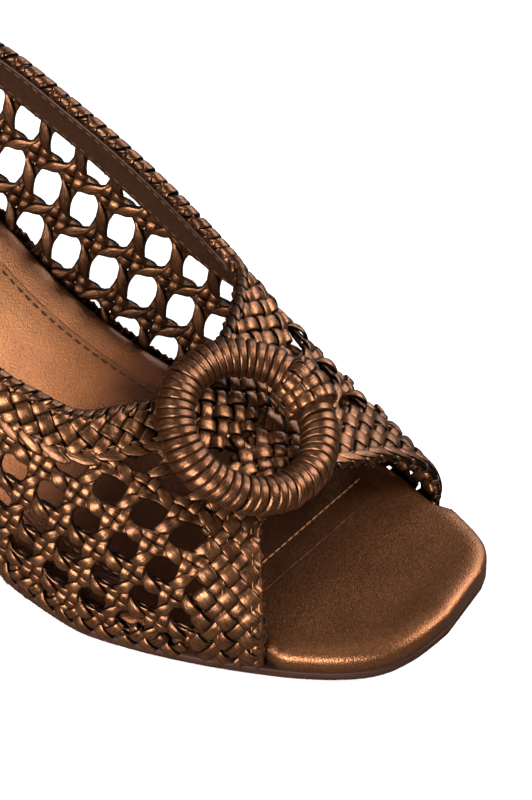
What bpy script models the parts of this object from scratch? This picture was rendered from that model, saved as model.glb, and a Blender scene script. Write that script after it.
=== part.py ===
"""Woven open-toe mule for the right foot, as an assembly of separate solids.

Lengths are millimetres: s runs back from the toe tip, y to the inner side of the foot, z up.
"""
import math

import bmesh
import bpy
import numpy as np
from mathutils.geometry import delaunay_2d_cdt

MM = 0.001
GAP = 0.3

# Whole shoe, standing on the forefoot and the heel.
LENGTH = 215.0
TOE_X = LENGTH / 2
MID_Y = -1.227

# Sole stack: outsole plate, covered footbed with a rolled rim, lining leaf.
OUTSOLE = 3.2
FOOTBED_FLAT = 4.6
SOCK = 0.6
SOCK_EDGE = 9.0
SOCK_FRONT = 37.0
SOCK_SLANT = math.tan(math.radians(10))
SOCK_BACK = 203.0

# Woven wall.
WALL = 2.0
UPPER_INSET = 0.4
SEAT_INSET = UPPER_INSET + WALL + GAP + 0.2
STRIP_RISE = 0.6
COLLAR_BAND = 12.0
PLAIT_PITCH = 4.0
SOLE_MARGIN = 2.2
BAND_MARGIN = 0.6
LEAST_HOLE = 6.0
PANEL_FRONT = 36.0
PANEL_BACK = 192.0
CANE_CELLS = 17
CLEAR_OF_EDGE = 0.7
CLEAR_OF_RELIEF = 1.2
CLEAR_OF_LINING = 4.0
COLLAR_ROWS = (1.4, 3.6, 5.8, 8.0, 10.2)
BAND_ROWS = (1.4, 3.8, 6.2, 8.6, 11.0, 13.4)

# Binding tape inside the collar.
TAPE_TOP = 0.9
TAPE_WIDTH = 9.5
TAPE = 1.0
TAPE_GAP = 0.45
TAPE_END = 5

# Ring ornament and its keeper loop.
RING_RADIUS = 17.0
RING_TUBE = 4.5
RING_S = 53.2
RING_Y = -5.6
RING_TILT = math.radians(26)
RING_ROLL = math.radians(5)
RING_CLEAR = 1.1
WRAPS = 50
WRAP_GROOVE = 0.4
KEEPER_AT = math.radians(75)
KEEPER_SPREAD = math.radians(38)
KEEPER = 1.5
KEEPER_FROM = math.radians(-28)
KEEPER_TO = math.radians(208)

# Heel block and its wearing piece.
HEEL_FRONT = 160.0
HEEL_INSET = 0.8
TIP = 5.0
TIP_FRONT = 174.0
TIP_BACK = 209.0
TIP_LATERAL = -20.0
TIP_MEDIAL = 14.5

# Sole outline: distance behind the toe, outer edge, inner edge.
OUTLINE = np.array([
    (0, -3.8, 11.5),
    (1, -8.3, 15.5),
    (3, -14.4, 19.2),
    (7, -20.7, 22.8),
    (14, -25.8, 26.8),
    (22, -29.6, 30.4),
    (32, -33.5, 34.0),
    (45, -37.7, 36.8),
    (60, -41.2, 37.9),
    (75, -43.4, 36.5),
    (90, -43.4, 33.2),
    (105, -40.0, 29.4),
    (120, -36.4, 26.8),
    (135, -33.6, 26.2),
    (150, -31.8, 25.2),
    (165, -30.8, 24.6),
    (180, -30.0, 24.2),
    (195, -27.8, 22.0),
    (205, -23.4, 17.6),
    (211, -17.6, 12.0),
    (214, -11.0, 5.6),
    (215, -4.0, -1.4),
], float)

# Sole underside: distance behind the toe, height above the floor.
UNDERSIDE = np.array([
    (0, 3.0), (12, 1.0), (28, 0.0), (58, 0.0), (72, 0.7), (88, 5.0), (104, 14.4),
    (120, 27.0), (136, 41.0), (152, 52.6), (168, 63.0), (184, 71.2), (200, 76.8), (215, 80.6),
], float)

# Sections of the last: distance behind the toe, then y and z of the outer shoulder,
# the crown and the inner shoulder. Behind the throat the shoulders carry the collar.
LAST = np.array([
    (12, -21.0, 10.5, 1, 18.5, 24.0, 11.0),
    (20, -25.5, 14.5, 1, 24.0, 28.2, 14.0),
    (30, -29.0, 19.5, 0, 29.5, 31.4, 17.8),
    (40, -31.5, 24.5, -1, 34.5, 34.0, 21.6),
    (51, -33.5, 30.0, -2, 39.8, 35.6, 26.8),
    (61, -34.8, 35.2, -2, 44.6, 36.3, 33.6),
    (72, -35.2, 41.0, -1, 50.5, 36.8, 42.8),
    (80, -35.0, 45.0, 0, 55.5, 37.0, 50.0),
    (90, -34.6, 52.0, 0, 62.5, 36.4, 59.2),
    (100, -33.8, 60.0, 1, 70.0, 35.7, 67.4),
    (110, -33.1, 68.0, 1, 77.5, 35.0, 74.5),
    (120, -32.2, 75.5, 1, 85.0, 34.7, 80.0),
    (136, -30.6, 85.6, 0, 97.0, 33.3, 89.5),
    (150, -29.6, 91.0, 0, 107.0, 31.0, 94.2),
    (165, -29.0, 93.0, 0, 112.0, 28.5, 95.5),
    (180, -28.6, 91.5, -1, 112.0, 26.0, 93.0),
    (196, -26.5, 88.0, -2, 106.0, 22.0, 89.0),
], float)

# Edges of the woven wall: distance behind the toe and place round the section,
# 0 at the outer sole edge, 1 outer shoulder, 2 crown, 3 inner shoulder, 4 inner sole edge.
TOPLINE = np.array([
    (192, 0.00), (188, 0.34), (182, 0.70), (174, 0.92), (162, 1.00), (148, 1.02), (134, 1.02), (120, 1.03),
    (109, 1.05), (99, 1.10), (90.3, 1.21), (82.2, 1.32), (76.1, 1.52), (70.9, 1.74), (68.6, 2.00),
    (68.4, 2.22), (69.5, 2.42), (73.4, 2.73), (79, 2.95), (88, 2.99), (98, 2.98), (109, 2.98),
    (120, 2.97), (134, 2.98), (148, 2.98), (162, 3.00), (174, 3.08), (182, 3.30), (188, 3.66), (192, 4.00),
], float)
FRONT_EDGE = np.array([
    (20, 4.00), (20.7, 3.66), (21.8, 3.34), (23.6, 3.06), (26.5, 2.80), (29.7, 2.59), (31.3, 2.42),
    (33.0, 2.29), (35.4, 2.15), (38.0, 1.98), (40.0, 1.75), (39.8, 1.48), (36.6, 1.28), (33.1, 1.00),
    (30.9, 0.50), (30.8, 0.00),
], float)
BAND_REAR_OUTER = np.array([
    (49, 0.00), (47.2, 0.16), (46, 0.65), (47.1, 1.03), (48.8, 1.25), (51, 1.45),
], float)
BAND_REAR_INNER = np.array([
    (39, 4.00), (38.5, 3.60), (39.5, 3.20), (41.5, 2.90), (43.5, 2.66), (47, 2.40), (51, 2.25),
], float)

# Cane lattice of each side wall in (s, height up the wall): one crossing and the two steps.
CANE_OUTER = dict(node=(66.9, 36.5), along=(-9.2, -3.8), up=(-3.2, 8.8))
CANE_INNER = dict(node=(113.7, 43.2), along=(-8.9, -3.8), up=(-2.8, 12.0))
HOLE_FLAT = 0.31
HOLE_DIAGONAL = 0.29

# Slots left between the bands under the ring: centre s, centre off the crown, half sizes.
RING_SLOTS = ((54.0, -8.0, 2.6, 3.6), (53.0, 3.0, 2.6, 4.4))
RING_CLEARING = 13.0


def hermite(x, y, slope):
    """Cubic through the knots with the given slopes, held level past the ends."""
    step = np.diff(x)

    def value(v):
        v = np.clip(np.asarray(v, float), x[0], x[-1])
        i = np.clip(np.searchsorted(x, v, side="right") - 1, 0, len(x) - 2)
        k = (v - x[i]) / step[i]
        rise = y[i] * (1 + 2 * k) * (1 - k) ** 2 + y[i + 1] * k * k * (3 - 2 * k)
        return rise + step[i] * (slope[i] * k * (1 - k) ** 2 + slope[i + 1] * k * k * (k - 1))

    return value


def fair(table, column):
    """Smooth column of a table against its first column, free of overshoot."""
    x, y = table[:, 0], table[:, column]
    h = np.diff(x)
    d = np.diff(y) / h
    slope = np.concatenate([d[:1], np.zeros(len(x) - 2), d[-1:]])
    near, far = 2 * h[1:] + h[:-1], h[1:] + 2 * h[:-1]
    same = d[:-1] * d[1:] > 0
    slope[1:-1][same] = (near + far)[same] / (near[same] / d[:-1][same] + far[same] / d[1:][same])
    return hermite(x, y, slope)


def smooth(x, y):
    """Smooth curve through points with uneven knots."""
    h = np.diff(x)
    d = np.diff(y) / h
    inner = (d[:-1] * h[1:] + d[1:] * h[:-1]) / (h[:-1] + h[1:])
    return hermite(x, y, np.concatenate([d[:1], inner, d[-1:]]))


outer_edge = fair(OUTLINE, 1)
inner_edge = fair(OUTLINE, 2)
underside = fair(UNDERSIDE, 1)
last_column = [smooth(LAST[:, 0], LAST[:, c]) for c in range(1, LAST.shape[1])]


def seat_height(s):
    return underside(s) + OUTSOLE + GAP


def section_point(s, u):
    """Point of the wall's outer face at section s, place u round it."""
    s, u = np.broadcast_arrays(np.asarray(s, float), np.asarray(u, float))
    y1, z1, y2, z2, y3, z3 = (column(s) for column in last_column)
    seat = seat_height(s)
    ys = np.stack([outer_edge(s) + UPPER_INSET, y1, y2, y3, inner_edge(s) - UPPER_INSET], -1)
    zs = np.stack([seat, z1, z2, z3, seat], -1)
    i = np.clip(u.astype(int), 0, 3)
    k = u - i
    place = []
    for knots in (ys, zs):
        slope = np.empty_like(knots)
        slope[..., 1:-1] = (knots[..., 2:] - knots[..., :-2]) / 2
        slope[..., 0] = (3 * (knots[..., 1] - knots[..., 0]) - slope[..., 1]) / 2
        slope[..., -1] = (3 * (knots[..., -1] - knots[..., -2]) - slope[..., -2]) / 2
        a, b, ta, tb = (np.take_along_axis(grid, index[..., None], -1)[..., 0]
                        for grid, index in ((knots, i), (knots, i + 1), (slope, i), (slope, i + 1)))
        place.append(a * (1 + 2 * k) * (1 - k) ** 2 + b * k * k * (3 - 2 * k)
                     + ta * k * (1 - k) ** 2 + tb * k * k * (k - 1))
    return np.stack([-s, place[0], place[1]], -1)


# Length round each section, measured from the crown, so that (s, q) is a flat pattern.
PATTERN_S = np.arange(LAST[0, 0], LAST[-1, 0] + 1.0)
PATTERN_U = np.linspace(0, 4, 161)
pattern_points = section_point(PATTERN_S[:, None], PATTERN_U[None, :])
pattern_steps = np.linalg.norm(np.diff(pattern_points, axis=1), axis=2)
PATTERN_Q = np.concatenate([np.zeros((len(PATTERN_S), 1)), np.cumsum(pattern_steps, axis=1)], axis=1)
PATTERN_Q -= PATTERN_Q[:, len(PATTERN_U) // 2][:, None]


def pattern_mix(s, read):
    """Read a row-wise value at s from the two neighbouring rows of the pattern."""
    row = min(max((s - PATTERN_S[0]), 0.0), len(PATTERN_S) - 1.001)
    i = int(row)
    return read(i) * (1 - row + i) + read(i + 1) * (row - i)


def pattern_u(s, q):
    return pattern_mix(s, lambda i: np.interp(q, PATTERN_Q[i], PATTERN_U))


def pattern_q(s, u):
    return pattern_mix(s, lambda i: np.interp(u, PATTERN_U, PATTERN_Q[i]))


def surface(flat):
    """Outer face at flat-pattern points (s, q)."""
    flat = np.atleast_2d(flat)
    return section_point(flat[:, 0], np.array([pattern_u(s, q) for s, q in flat]))


def tangents(flat, step=0.4):
    flat = np.atleast_2d(flat)
    along = (surface(flat + (step, 0)) - surface(flat - (step, 0))) / (2 * step)
    inwards = np.array([(0, step if pattern_u(s, q) < 2 else -step) for s, q in flat])
    across = (surface(flat + inwards) - surface(flat)) / inwards[:, 1:]
    return along, across


def normals(flat):
    along, across = tangents(flat)
    out = np.cross(across, along)
    return out / np.linalg.norm(out, axis=1)[:, None]


def wall_points(flat, rise):
    """Points of the wall moved along its normal; the sole edge keeps its seat height."""
    flat = np.atleast_2d(flat)
    points = surface(flat) + normals(flat) * np.reshape(rise, (-1, 1))
    place = np.array([pattern_u(s, q) for s, q in flat])
    seated = (place < 0.004) | (place > 3.996)
    points[seated, 2] = seat_height(-points[seated, 0])
    return points


def trace(table, step):
    """Even points along an edge table, as flat-pattern points."""
    knots = np.arange(len(table), dtype=float)
    fine = np.linspace(0, knots[-1], 40 * len(table))
    s = smooth(knots, table[:, 0])(fine)
    u = np.clip(smooth(knots, table[:, 1])(fine), 0, 4)
    flat = np.array([(a, pattern_q(a, b)) for a, b in zip(s, u)])
    run = np.concatenate([[0], np.cumsum(np.linalg.norm(np.diff(surface(flat), axis=0), axis=1))])
    even = np.linspace(0, run[-1], max(2, round(run[-1] / step)) + 1)
    return np.stack([np.interp(even, run, flat[:, c]) for c in (0, 1)], -1)


def held(flat):
    """Flat-pattern points kept between the two sole edges."""
    ends = np.array([(pattern_q(s, 0.0), pattern_q(s, 4.0)) for s in flat[:, 0]])
    return np.column_stack([flat[:, 0], np.clip(flat[:, 1], ends[:, 0], ends[:, 1])])


def shifted(edge, distance):
    """Edge moved over the wall to its right-hand side by a distance, in short steps."""
    moved = edge.copy()
    count = max(1, math.ceil(abs(distance) / 2.0))
    for _ in range(count):
        along, across = tangents(moved)
        run = np.gradient(moved, axis=0)
        course = along * run[:, :1] + across * run[:, 1:]
        side = np.cross(course, normals(moved))
        side /= np.linalg.norm(side, axis=1)[:, None]
        for k in range(len(moved)):
            frame = np.stack([along[k], across[k]], -1)
            move = np.linalg.lstsq(frame, side[k] * distance / count, rcond=None)[0]
            moved[k] += move
        moved = held(moved)
    return moved


def body(name, points, faces, colour, roughness, metallic=0.0):
    """One closed named solid with its own plain material, points in millimetres."""
    mesh = bpy.data.meshes.new(name)
    place = np.asarray(points, float) + (TOE_X, -MID_Y, 0)
    mesh.from_pydata((place * MM).tolist(), [], [tuple(int(i) for i in face) for face in faces])
    work = bmesh.new()
    work.from_mesh(mesh)
    bmesh.ops.triangulate(work, faces=work.faces)
    bmesh.ops.recalc_face_normals(work, faces=work.faces)
    work.to_mesh(mesh)
    work.free()
    material = bpy.data.materials.new(name)
    material.use_nodes = True
    shader = material.node_tree.nodes["Principled BSDF"]
    shader.inputs["Base Color"].default_value = (*colour, 1)
    shader.inputs["Roughness"].default_value = roughness
    shader.inputs["Metallic"].default_value = metallic
    mesh.materials.append(material)
    piece = bpy.data.objects.new(name, mesh)
    bpy.context.scene.collection.objects.link(piece)
    return piece


def ring_faces(count, rings):
    """Quads between equal rings of points laid one after another."""
    faces = []
    for r in range(rings - 1):
        for k in range(count):
            n = (k + 1) % count
            faces.append((r * count + k, r * count + n, (r + 1) * count + n, (r + 1) * count + k))
    return faces


def ladder(first, half):
    """Faces across a ring whose two halves run the same stations, out and back."""
    faces = []
    for k in range(half - 1):
        faces.append((first + k, first + k + 1, first + 2 * half - 2 - k, first + 2 * half - 1 - k))
    return faces


def plan_ring(stations, inset_outer, inset_inner):
    """Closed plan outline: down the outer edge, back up the inner edge, moved inwards."""
    outer = np.stack([-stations, outer_edge(stations)], -1)
    inner = np.stack([-stations, inner_edge(stations)], -1)[::-1]
    loop = np.concatenate([outer, inner])
    inset = np.concatenate([inset_outer, inset_inner[::-1]])
    before = loop - np.roll(loop, 1, axis=0)
    after = np.roll(loop, -1, axis=0) - loop
    side = sum(np.stack([e[:, 1], -e[:, 0]], -1) / np.linalg.norm(e, axis=1)[:, None]
               for e in (before, after))
    side /= np.maximum(np.linalg.norm(side, axis=1), 1e-9)[:, None]
    return loop + side * inset[:, None]


def raised(plan, height):
    return np.column_stack([plan, underside(-plan[:, 0]) + height])


for old in list(bpy.data.objects):
    bpy.data.objects.remove(old, do_unlink=True)

SOLE_STATIONS = np.unique(np.concatenate([
    OUTLINE[:, 0], UNDERSIDE[:, 0], [2.0, 5.0, 10.0, 18.0, 26.0, 38.0, 51.0, 66.0, 80.0, 96.0, 112.0,
                                     128.0, 144.0, 160.0, 174.0, 190.0, 200.0, 208.0, 213.0, 214.7]]))
HALF = len(SOLE_STATIONS)
level = np.zeros(HALF)

# Outsole: leather plate bent to the arch of the last.
plate = plan_ring(SOLE_STATIONS, level, level)
points = np.concatenate([raised(plate, 0.0), raised(plate, OUTSOLE)])
faces = ring_faces(2 * HALF, 2) + ladder(0, HALF) + ladder(2 * HALF, HALF)
body("outsole", points, faces, (0.12, 0.045, 0.02), 0.5)

# Footbed: covered board, let in where the woven wall stands beside it, with a rolled rim.
LET_IN = [0, 0, SEAT_INSET, SEAT_INSET, 0, 0]
let_in_outer = np.interp(SOLE_STATIONS, [0, 24, 28.5, 194, 200, LENGTH], LET_IN)
let_in_inner = np.interp(SOLE_STATIONS, [0, 14, 18, 194, 200, LENGTH], LET_IN)
RIM_PROFILE = (
    (0.0, GAP), (0.0, 2.4), (0.7, 4.0), (2.0, 5.0), (4.0, 5.3), (6.4, 5.0), (8.4, FOOTBED_FLAT + GAP),
)
rings = []
for inset, height in RIM_PROFILE:
    rim = plan_ring(SOLE_STATIONS, let_in_outer + inset, let_in_inner + inset)
    rings.append(raised(rim, OUTSOLE + height))
faces = ring_faces(2 * HALF, len(rings)) + ladder(0, HALF) + ladder(2 * HALF * (len(rings) - 1), HALF)
body("footbed", np.concatenate(rings), faces, (0.22, 0.1, 0.045), 0.45, 0.6)

# Sock: thin lining leaf on the flat of the footbed, cut on a slant in front.
covered = (SOLE_STATIONS > SOCK_FRONT + 8) & (SOLE_STATIONS < SOCK_BACK - 2)
keep = np.concatenate([[SOCK_FRONT], SOLE_STATIONS[covered], [SOCK_BACK]])
leaf = len(keep)
outer = outer_edge(keep) + SEAT_INSET + SOCK_EDGE
inner = inner_edge(keep) - SEAT_INSET - SOCK_EDGE
tuck = np.where(keep == SOCK_BACK, 4.0, 0.0)
sock_s = np.concatenate([keep, keep[::-1]])
sock_y = np.concatenate([outer + tuck, (inner - tuck)[::-1]])
slant = np.concatenate([keep == SOCK_FRONT, (keep == SOCK_FRONT)[::-1]])
sock_s = sock_s - np.where(slant, sock_y * SOCK_SLANT, 0.0)
plan = np.stack([-sock_s, sock_y], -1)
sock_base = OUTSOLE + GAP + FOOTBED_FLAT + GAP
points = np.concatenate([raised(plan, sock_base), raised(plan, sock_base + SOCK)])
faces = ring_faces(2 * leaf, 2) + ladder(0, leaf) + ladder(2 * leaf, leaf)
body("sock", points, faces, (0.25, 0.11, 0.05), 0.5, 0.6)

# Upper, flat pattern: outline, cane holes cut by the bands and the sole, raised strips.
front = trace(FRONT_EDGE, 3.2)
topline = trace(TOPLINE, PLAIT_PITCH)


def sole_run(start, stop, u):
    s = np.linspace(start, stop, round(abs(stop - start) / 5.0) + 1)[1:-1]
    return np.array([(v, pattern_q(v, u)) for v in s])


outline = np.concatenate([
    topline,
    sole_run(topline[-1, 0], front[0, 0], 4.0),
    front,
    sole_run(front[-1, 0], topline[0, 0], 0.0),
])
collar_line = surface(topline)
band_lines = {-1: surface(trace(BAND_REAR_OUTER, 2.0)), 1: surface(trace(BAND_REAR_INNER, 2.0))}
SOLE_EDGE = {-1: 0.0, 1: 4.0}


def distance_to(line, points):
    gap = np.linalg.norm(points[:, None, :] - line[None, :, :], axis=2)
    return gap.min(axis=1)


def inside(loop, points):
    """Which points lie in the closed flat loop."""
    x, y = points[:, :1], points[:, 1:]
    a, b = loop, np.roll(loop, -1, axis=0)
    crosses = (a[None, :, 1] > y) != (b[None, :, 1] > y)
    with np.errstate(divide="ignore", invalid="ignore"):
        at = a[:, 0] + (y - a[:, 1]) * (b[:, 0] - a[:, 0]) / (b[:, 1] - a[:, 1])
    return (crosses & (x < at)).sum(axis=1) % 2 == 1


def clip(loop, field):
    """Part of a loop where the field is positive."""
    kept = []
    for k in range(len(loop)):
        a, b, fa, fb = loop[k], loop[(k + 1) % len(loop)], field[k], field[(k + 1) % len(loop)]
        if fa >= 0:
            kept.append(a)
        if (fa >= 0) != (fb >= 0):
            kept.append(a + (b - a) * fa / (fa - fb))
    return np.array(kept)


def loop_area(loop):
    x, y = loop[:, 0], loop[:, 1]
    return 0.5 * abs(np.dot(x, np.roll(y, -1)) - np.dot(y, np.roll(x, -1)))


def cane_to_flat(cane, side, cell):
    """Flat-pattern points of places given in steps of the cane lattice."""
    at = np.array(cane["node"]) + cell[:, :1] * np.array(cane["along"]) + cell[:, 1:] * np.array(cane["up"])
    return np.array([(s, pattern_q(s, SOLE_EDGE[side]) - side * (h - seat_height(s))) for s, h in at])


def panel_fields(flat, side):
    """Signed room to the collar band, the front band and the sole, positive inside the cane panel."""
    points = surface(flat)
    band = band_lines[side]
    level_with = band[np.argmin(np.abs(points[:, 2:] - band[None, :, 2]), axis=1), 0]
    behind = np.where(points[:, 0] < level_with, 1.0, -1.0)
    collar = np.where(inside(outline, flat), distance_to(collar_line, points), -1.0)
    sole = np.array([side * (pattern_q(s, SOLE_EDGE[side]) - q) for s, q in flat])
    return collar - COLLAR_BAND, behind * distance_to(band, points) - BAND_MARGIN, sole - SOLE_MARGIN


def on_panel(flat, side, off_crown):
    """Which points are near enough to a cane panel to be tried against its edges."""
    return (flat[:, 0] > PANEL_FRONT) & (flat[:, 0] < PANEL_BACK) & (side * flat[:, 1] > off_crown)


diagonal = HOLE_DIAGONAL * math.sqrt(2) - HOLE_FLAT
OCTAGON = np.array([
    (HOLE_FLAT, -diagonal), (HOLE_FLAT, diagonal), (diagonal, HOLE_FLAT), (-diagonal, HOLE_FLAT),
    (-HOLE_FLAT, diagonal), (-HOLE_FLAT, -diagonal), (-diagonal, -HOLE_FLAT), (diagonal, -HOLE_FLAT),
])
holes = []
raised_points = []
steps = range(-CANE_CELLS, CANE_CELLS)
cells = np.array([(i, j) for i in steps for j in steps], float)
for side, cane in ((-1, CANE_OUTER), (1, CANE_INNER)):
    centres = cane_to_flat(cane, side, cells + 0.5)
    for cell in cells[on_panel(centres, side, RING_CLEARING)]:
        loop = cane_to_flat(cane, side, cell + 0.5 + OCTAGON)
        for which in range(3):
            if len(loop) >= 3:
                loop = clip(loop, panel_fields(loop, side)[which])
        if len(loop) >= 3 and loop_area(loop) > LEAST_HOLE:
            holes.append(loop)
    for half in ((0, 0), (0.5, 0), (0, 0.5)):
        spots = cane_to_flat(cane, side, cells + half)
        spots = spots[on_panel(spots, side, 0.0)]
        room = np.min(panel_fields(spots, side), axis=0)
        raised_points += [(spot, STRIP_RISE) for spot in spots[room > -0.5]]

for s, q, half_s, half_q in RING_SLOTS:
    turn = np.linspace(0, 2 * math.pi, 9)[:-1] + math.pi / 8
    holes.append(np.stack([s + half_s * np.cos(turn), q + half_q * np.sin(turn)], -1))

# Plaited bands: rows of alternately high and low crossings beside the collar and front edges.
for edge, rows in ((topline, COLLAR_ROWS), (front, BAND_ROWS)):
    for row, distance in enumerate(rows):
        for k, spot in enumerate(shifted(edge, distance)[1:-1]):
            raised_points.append((spot, STRIP_RISE if (k + row) % 2 or row == 0 else 0.0))


def clear_of(spot, taken, room):
    return not len(taken) or np.min(np.linalg.norm(np.array(taken) - spot, axis=1)) > room


edge_points = np.concatenate([outline] + holes)
relief = []
for spot, rise in raised_points:
    flat = spot[None, :]
    if not inside(outline, flat)[0] or any(inside(hole, flat)[0] for hole in holes):
        continue
    if not clear_of(spot, edge_points, CLEAR_OF_EDGE):
        continue
    if clear_of(spot, [other for other, _ in relief], CLEAR_OF_RELIEF):
        relief.append((spot, rise))

lining = []
for distance in (TAPE_TOP, TAPE_TOP + TAPE_WIDTH / 2, TAPE_TOP + TAPE_WIDTH + 0.6):
    row = shifted(topline, distance)[1:-1]
    lining += [spot for spot in row[inside(outline, row)] if clear_of(spot, edge_points, CLEAR_OF_EDGE)]
lining += [spot for spot, _ in relief[::3] if clear_of(spot, lining, CLEAR_OF_LINING)]


def sheet(extra):
    """Triangles of the pattern, holes left out, with extra inner points."""
    rings = [outline] + holes
    flat = np.concatenate(rings + ([np.array(extra)] if len(extra) else []))
    edges = []
    first = 0
    for ring in rings:
        edges += [(first + k, first + (k + 1) % len(ring)) for k in range(len(ring))]
        first += len(ring)
    out = delaunay_2d_cdt([tuple(p) for p in flat.tolist()], edges, [], 0, 1e-6, True)
    source = [ids[0] for ids in out[3]]
    faces = np.array([[source[i] for i in face] for face in out[2]])
    middles = flat[faces].mean(axis=1)
    keep = inside(outline, middles)
    for hole in holes:
        keep &= ~inside(hole, middles)
    return flat, faces[keep].tolist(), edges


flat_out, faces_out, edges = sheet([spot for spot, _ in relief])
flat_in, faces_in, _ = sheet(lining)
rims = len(edge_points)
rise = np.concatenate([np.zeros(rims), [height for _, height in relief]])
points = np.concatenate([wall_points(flat_out, rise), wall_points(flat_in, np.full(len(flat_in), -WALL))])
shift = len(flat_out)
faces = faces_out + [[shift + i for i in reversed(face)] for face in faces_in]
faces += [(a, b, shift + b, shift + a) for a, b in edges]
body("upper", points, faces, (0.2, 0.085, 0.035), 0.4, 0.7)

# Collar binding: tape on the wall's inner face just below the topline.
tape_flat = [shifted(topline, TAPE_TOP + share * TAPE_WIDTH)[TAPE_END:-TAPE_END]
             for share in (0.0, 0.5, 1.0)]
run = len(tape_flat[0])
loops = [wall_points(row, np.full(run, -(WALL + TAPE_GAP))) for row in tape_flat]
loops += [wall_points(row, np.full(run, -(WALL + TAPE_GAP + TAPE))) for row in reversed(tape_flat)]
points = np.stack(loops, 1).reshape(-1, 3)
faces = ring_faces(len(loops), run)
faces += [tuple(range(len(loops))), tuple(range((run - 1) * len(loops), run * len(loops)))]
body("collar_binding", points, faces, (0.06, 0.028, 0.015), 0.55)

# Ring: wrapped core lying on the vamp.
ring_seat = surface([(RING_S, pattern_q(RING_S, 1.94))])[0]
ahead = np.array([math.cos(RING_TILT), 0, -math.sin(RING_TILT)])
level_up = np.array([math.sin(RING_TILT), 0, math.cos(RING_TILT)])
aside = np.array([0.0, math.cos(RING_ROLL), 0.0]) + level_up * math.sin(RING_ROLL)
up = level_up * math.cos(RING_ROLL) - np.array([0.0, math.sin(RING_ROLL), 0.0])
ring_centre = np.array([-RING_S, RING_Y, ring_seat[2]]) + up * (RING_TUBE + RING_CLEAR)


def ring_point(turn, roll, radius):
    """Point round the ring: turn from the toe towards the inner side, roll from outwards to up."""
    outward = ahead * math.cos(turn) + aside * math.sin(turn)
    return ring_centre + outward * (RING_RADIUS + radius * math.cos(roll)) + up * radius * math.sin(roll)


ROUND = 8
points = []
for k in range(2 * WRAPS):
    radius = RING_TUBE - (WRAP_GROOVE if k % 2 else 0.0)
    points += [ring_point(math.pi * k / WRAPS, 2 * math.pi * j / ROUND, radius) for j in range(ROUND)]
faces = ring_faces(ROUND, 2 * WRAPS)
faces += [((2 * WRAPS - 1) * ROUND + j, (2 * WRAPS - 1) * ROUND + (j + 1) % ROUND, (j + 1) % ROUND, j)
          for j in range(ROUND)]
body("ring", points, faces, (0.24, 0.1, 0.04), 0.35, 0.7)

# Ring keeper: plaited loop over the inner side of the ring.
ACROSS = 7
AROUND = 13
points = []
for layer in (0, 1):
    for i in range(AROUND):
        roll = KEEPER_FROM + (KEEPER_TO - KEEPER_FROM) * i / (AROUND - 1)
        for j in range(ACROSS):
            turn = KEEPER_AT + KEEPER_SPREAD * (j / (ACROSS - 1) - 0.5)
            lift = STRIP_RISE if layer and (i + j) % 2 else 0.0
            points.append(ring_point(turn, roll, RING_TUBE + GAP + 0.15 + layer * KEEPER + lift))
faces = []
for layer in (0, 1):
    base = layer * AROUND * ACROSS
    for i in range(AROUND - 1):
        for j in range(ACROSS - 1):
            corner = base + i * ACROSS + j
            faces.append((corner, corner + 1, corner + ACROSS + 1, corner + ACROSS))
edge = list(range(ACROSS))
edge += [i * ACROSS + ACROSS - 1 for i in range(1, AROUND)]
edge += [(AROUND - 1) * ACROSS + j for j in range(ACROSS - 2, -1, -1)]
edge += [i * ACROSS for i in range(AROUND - 2, 0, -1)]
faces += [(a, b, b + AROUND * ACROSS, a + AROUND * ACROSS) for a, b in zip(edge, edge[1:] + edge[:1])]
body("ring_keeper", points, faces, (0.2, 0.085, 0.035), 0.4, 0.7)

# Heel: covered block from the seat down to the wearing piece.
over_heel = (SOLE_STATIONS > HEEL_FRONT) & (SOLE_STATIONS < LENGTH - HEEL_INSET)
heel_s = np.concatenate([[HEEL_FRONT], SOLE_STATIONS[over_heel], [LENGTH - HEEL_INSET]])
count = len(heel_s)
seat = plan_ring(heel_s, np.full(count, HEEL_INSET), np.full(count, HEEL_INSET))
share = np.concatenate([(heel_s - HEEL_FRONT), (heel_s - HEEL_FRONT)[::-1]]) / (LENGTH - HEEL_FRONT)
outer_half = np.arange(2 * count) < count
foot_s = TIP_FRONT + (TIP_BACK - TIP_FRONT) * np.clip(share * 1.05, 0, 1)
bulge = np.sqrt(np.clip(1 - np.clip((foot_s - (TIP_BACK - 16)) / 16.5, 0, 1) ** 2, 0, 1))
middle = (TIP_LATERAL + TIP_MEDIAL) / 2
foot_y = np.where(outer_half, middle + (TIP_LATERAL - middle) * bulge, middle + (TIP_MEDIAL - middle) * bulge)
foot = np.stack([-foot_s, foot_y], -1)
levels = (0.0, 0.18, 0.4, 0.7, 1.0)
rings = []
for t in levels:
    ease = 1 - (1 - t) ** 1.8
    plan = seat * (1 - ease) + foot * ease
    top = underside(-seat[:, 0]) - GAP
    rings.append(np.column_stack([plan, top * (1 - t) + (TIP + GAP) * t]))
faces = ring_faces(2 * count, len(levels)) + ladder(0, count) + ladder(2 * count * (len(levels) - 1), count)
body("heel", np.concatenate(rings), faces, (0.2, 0.085, 0.035), 0.4, 0.6)

# Heel tip: flat wearing piece.
rings = [np.column_stack([foot, np.full(2 * count, height)]) for height in (0.0, TIP)]
faces = ring_faces(2 * count, 2) + ladder(0, count) + ladder(2 * count, count)
body("heel_tip", np.concatenate(rings), faces, (0.02, 0.018, 0.016), 0.7)
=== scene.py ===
"""Looks of a woven open-toe mule for the right foot, made piece by piece round its solids."""
import math

import bmesh
import bpy
import numpy as np
from mathutils import Matrix, Vector


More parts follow.
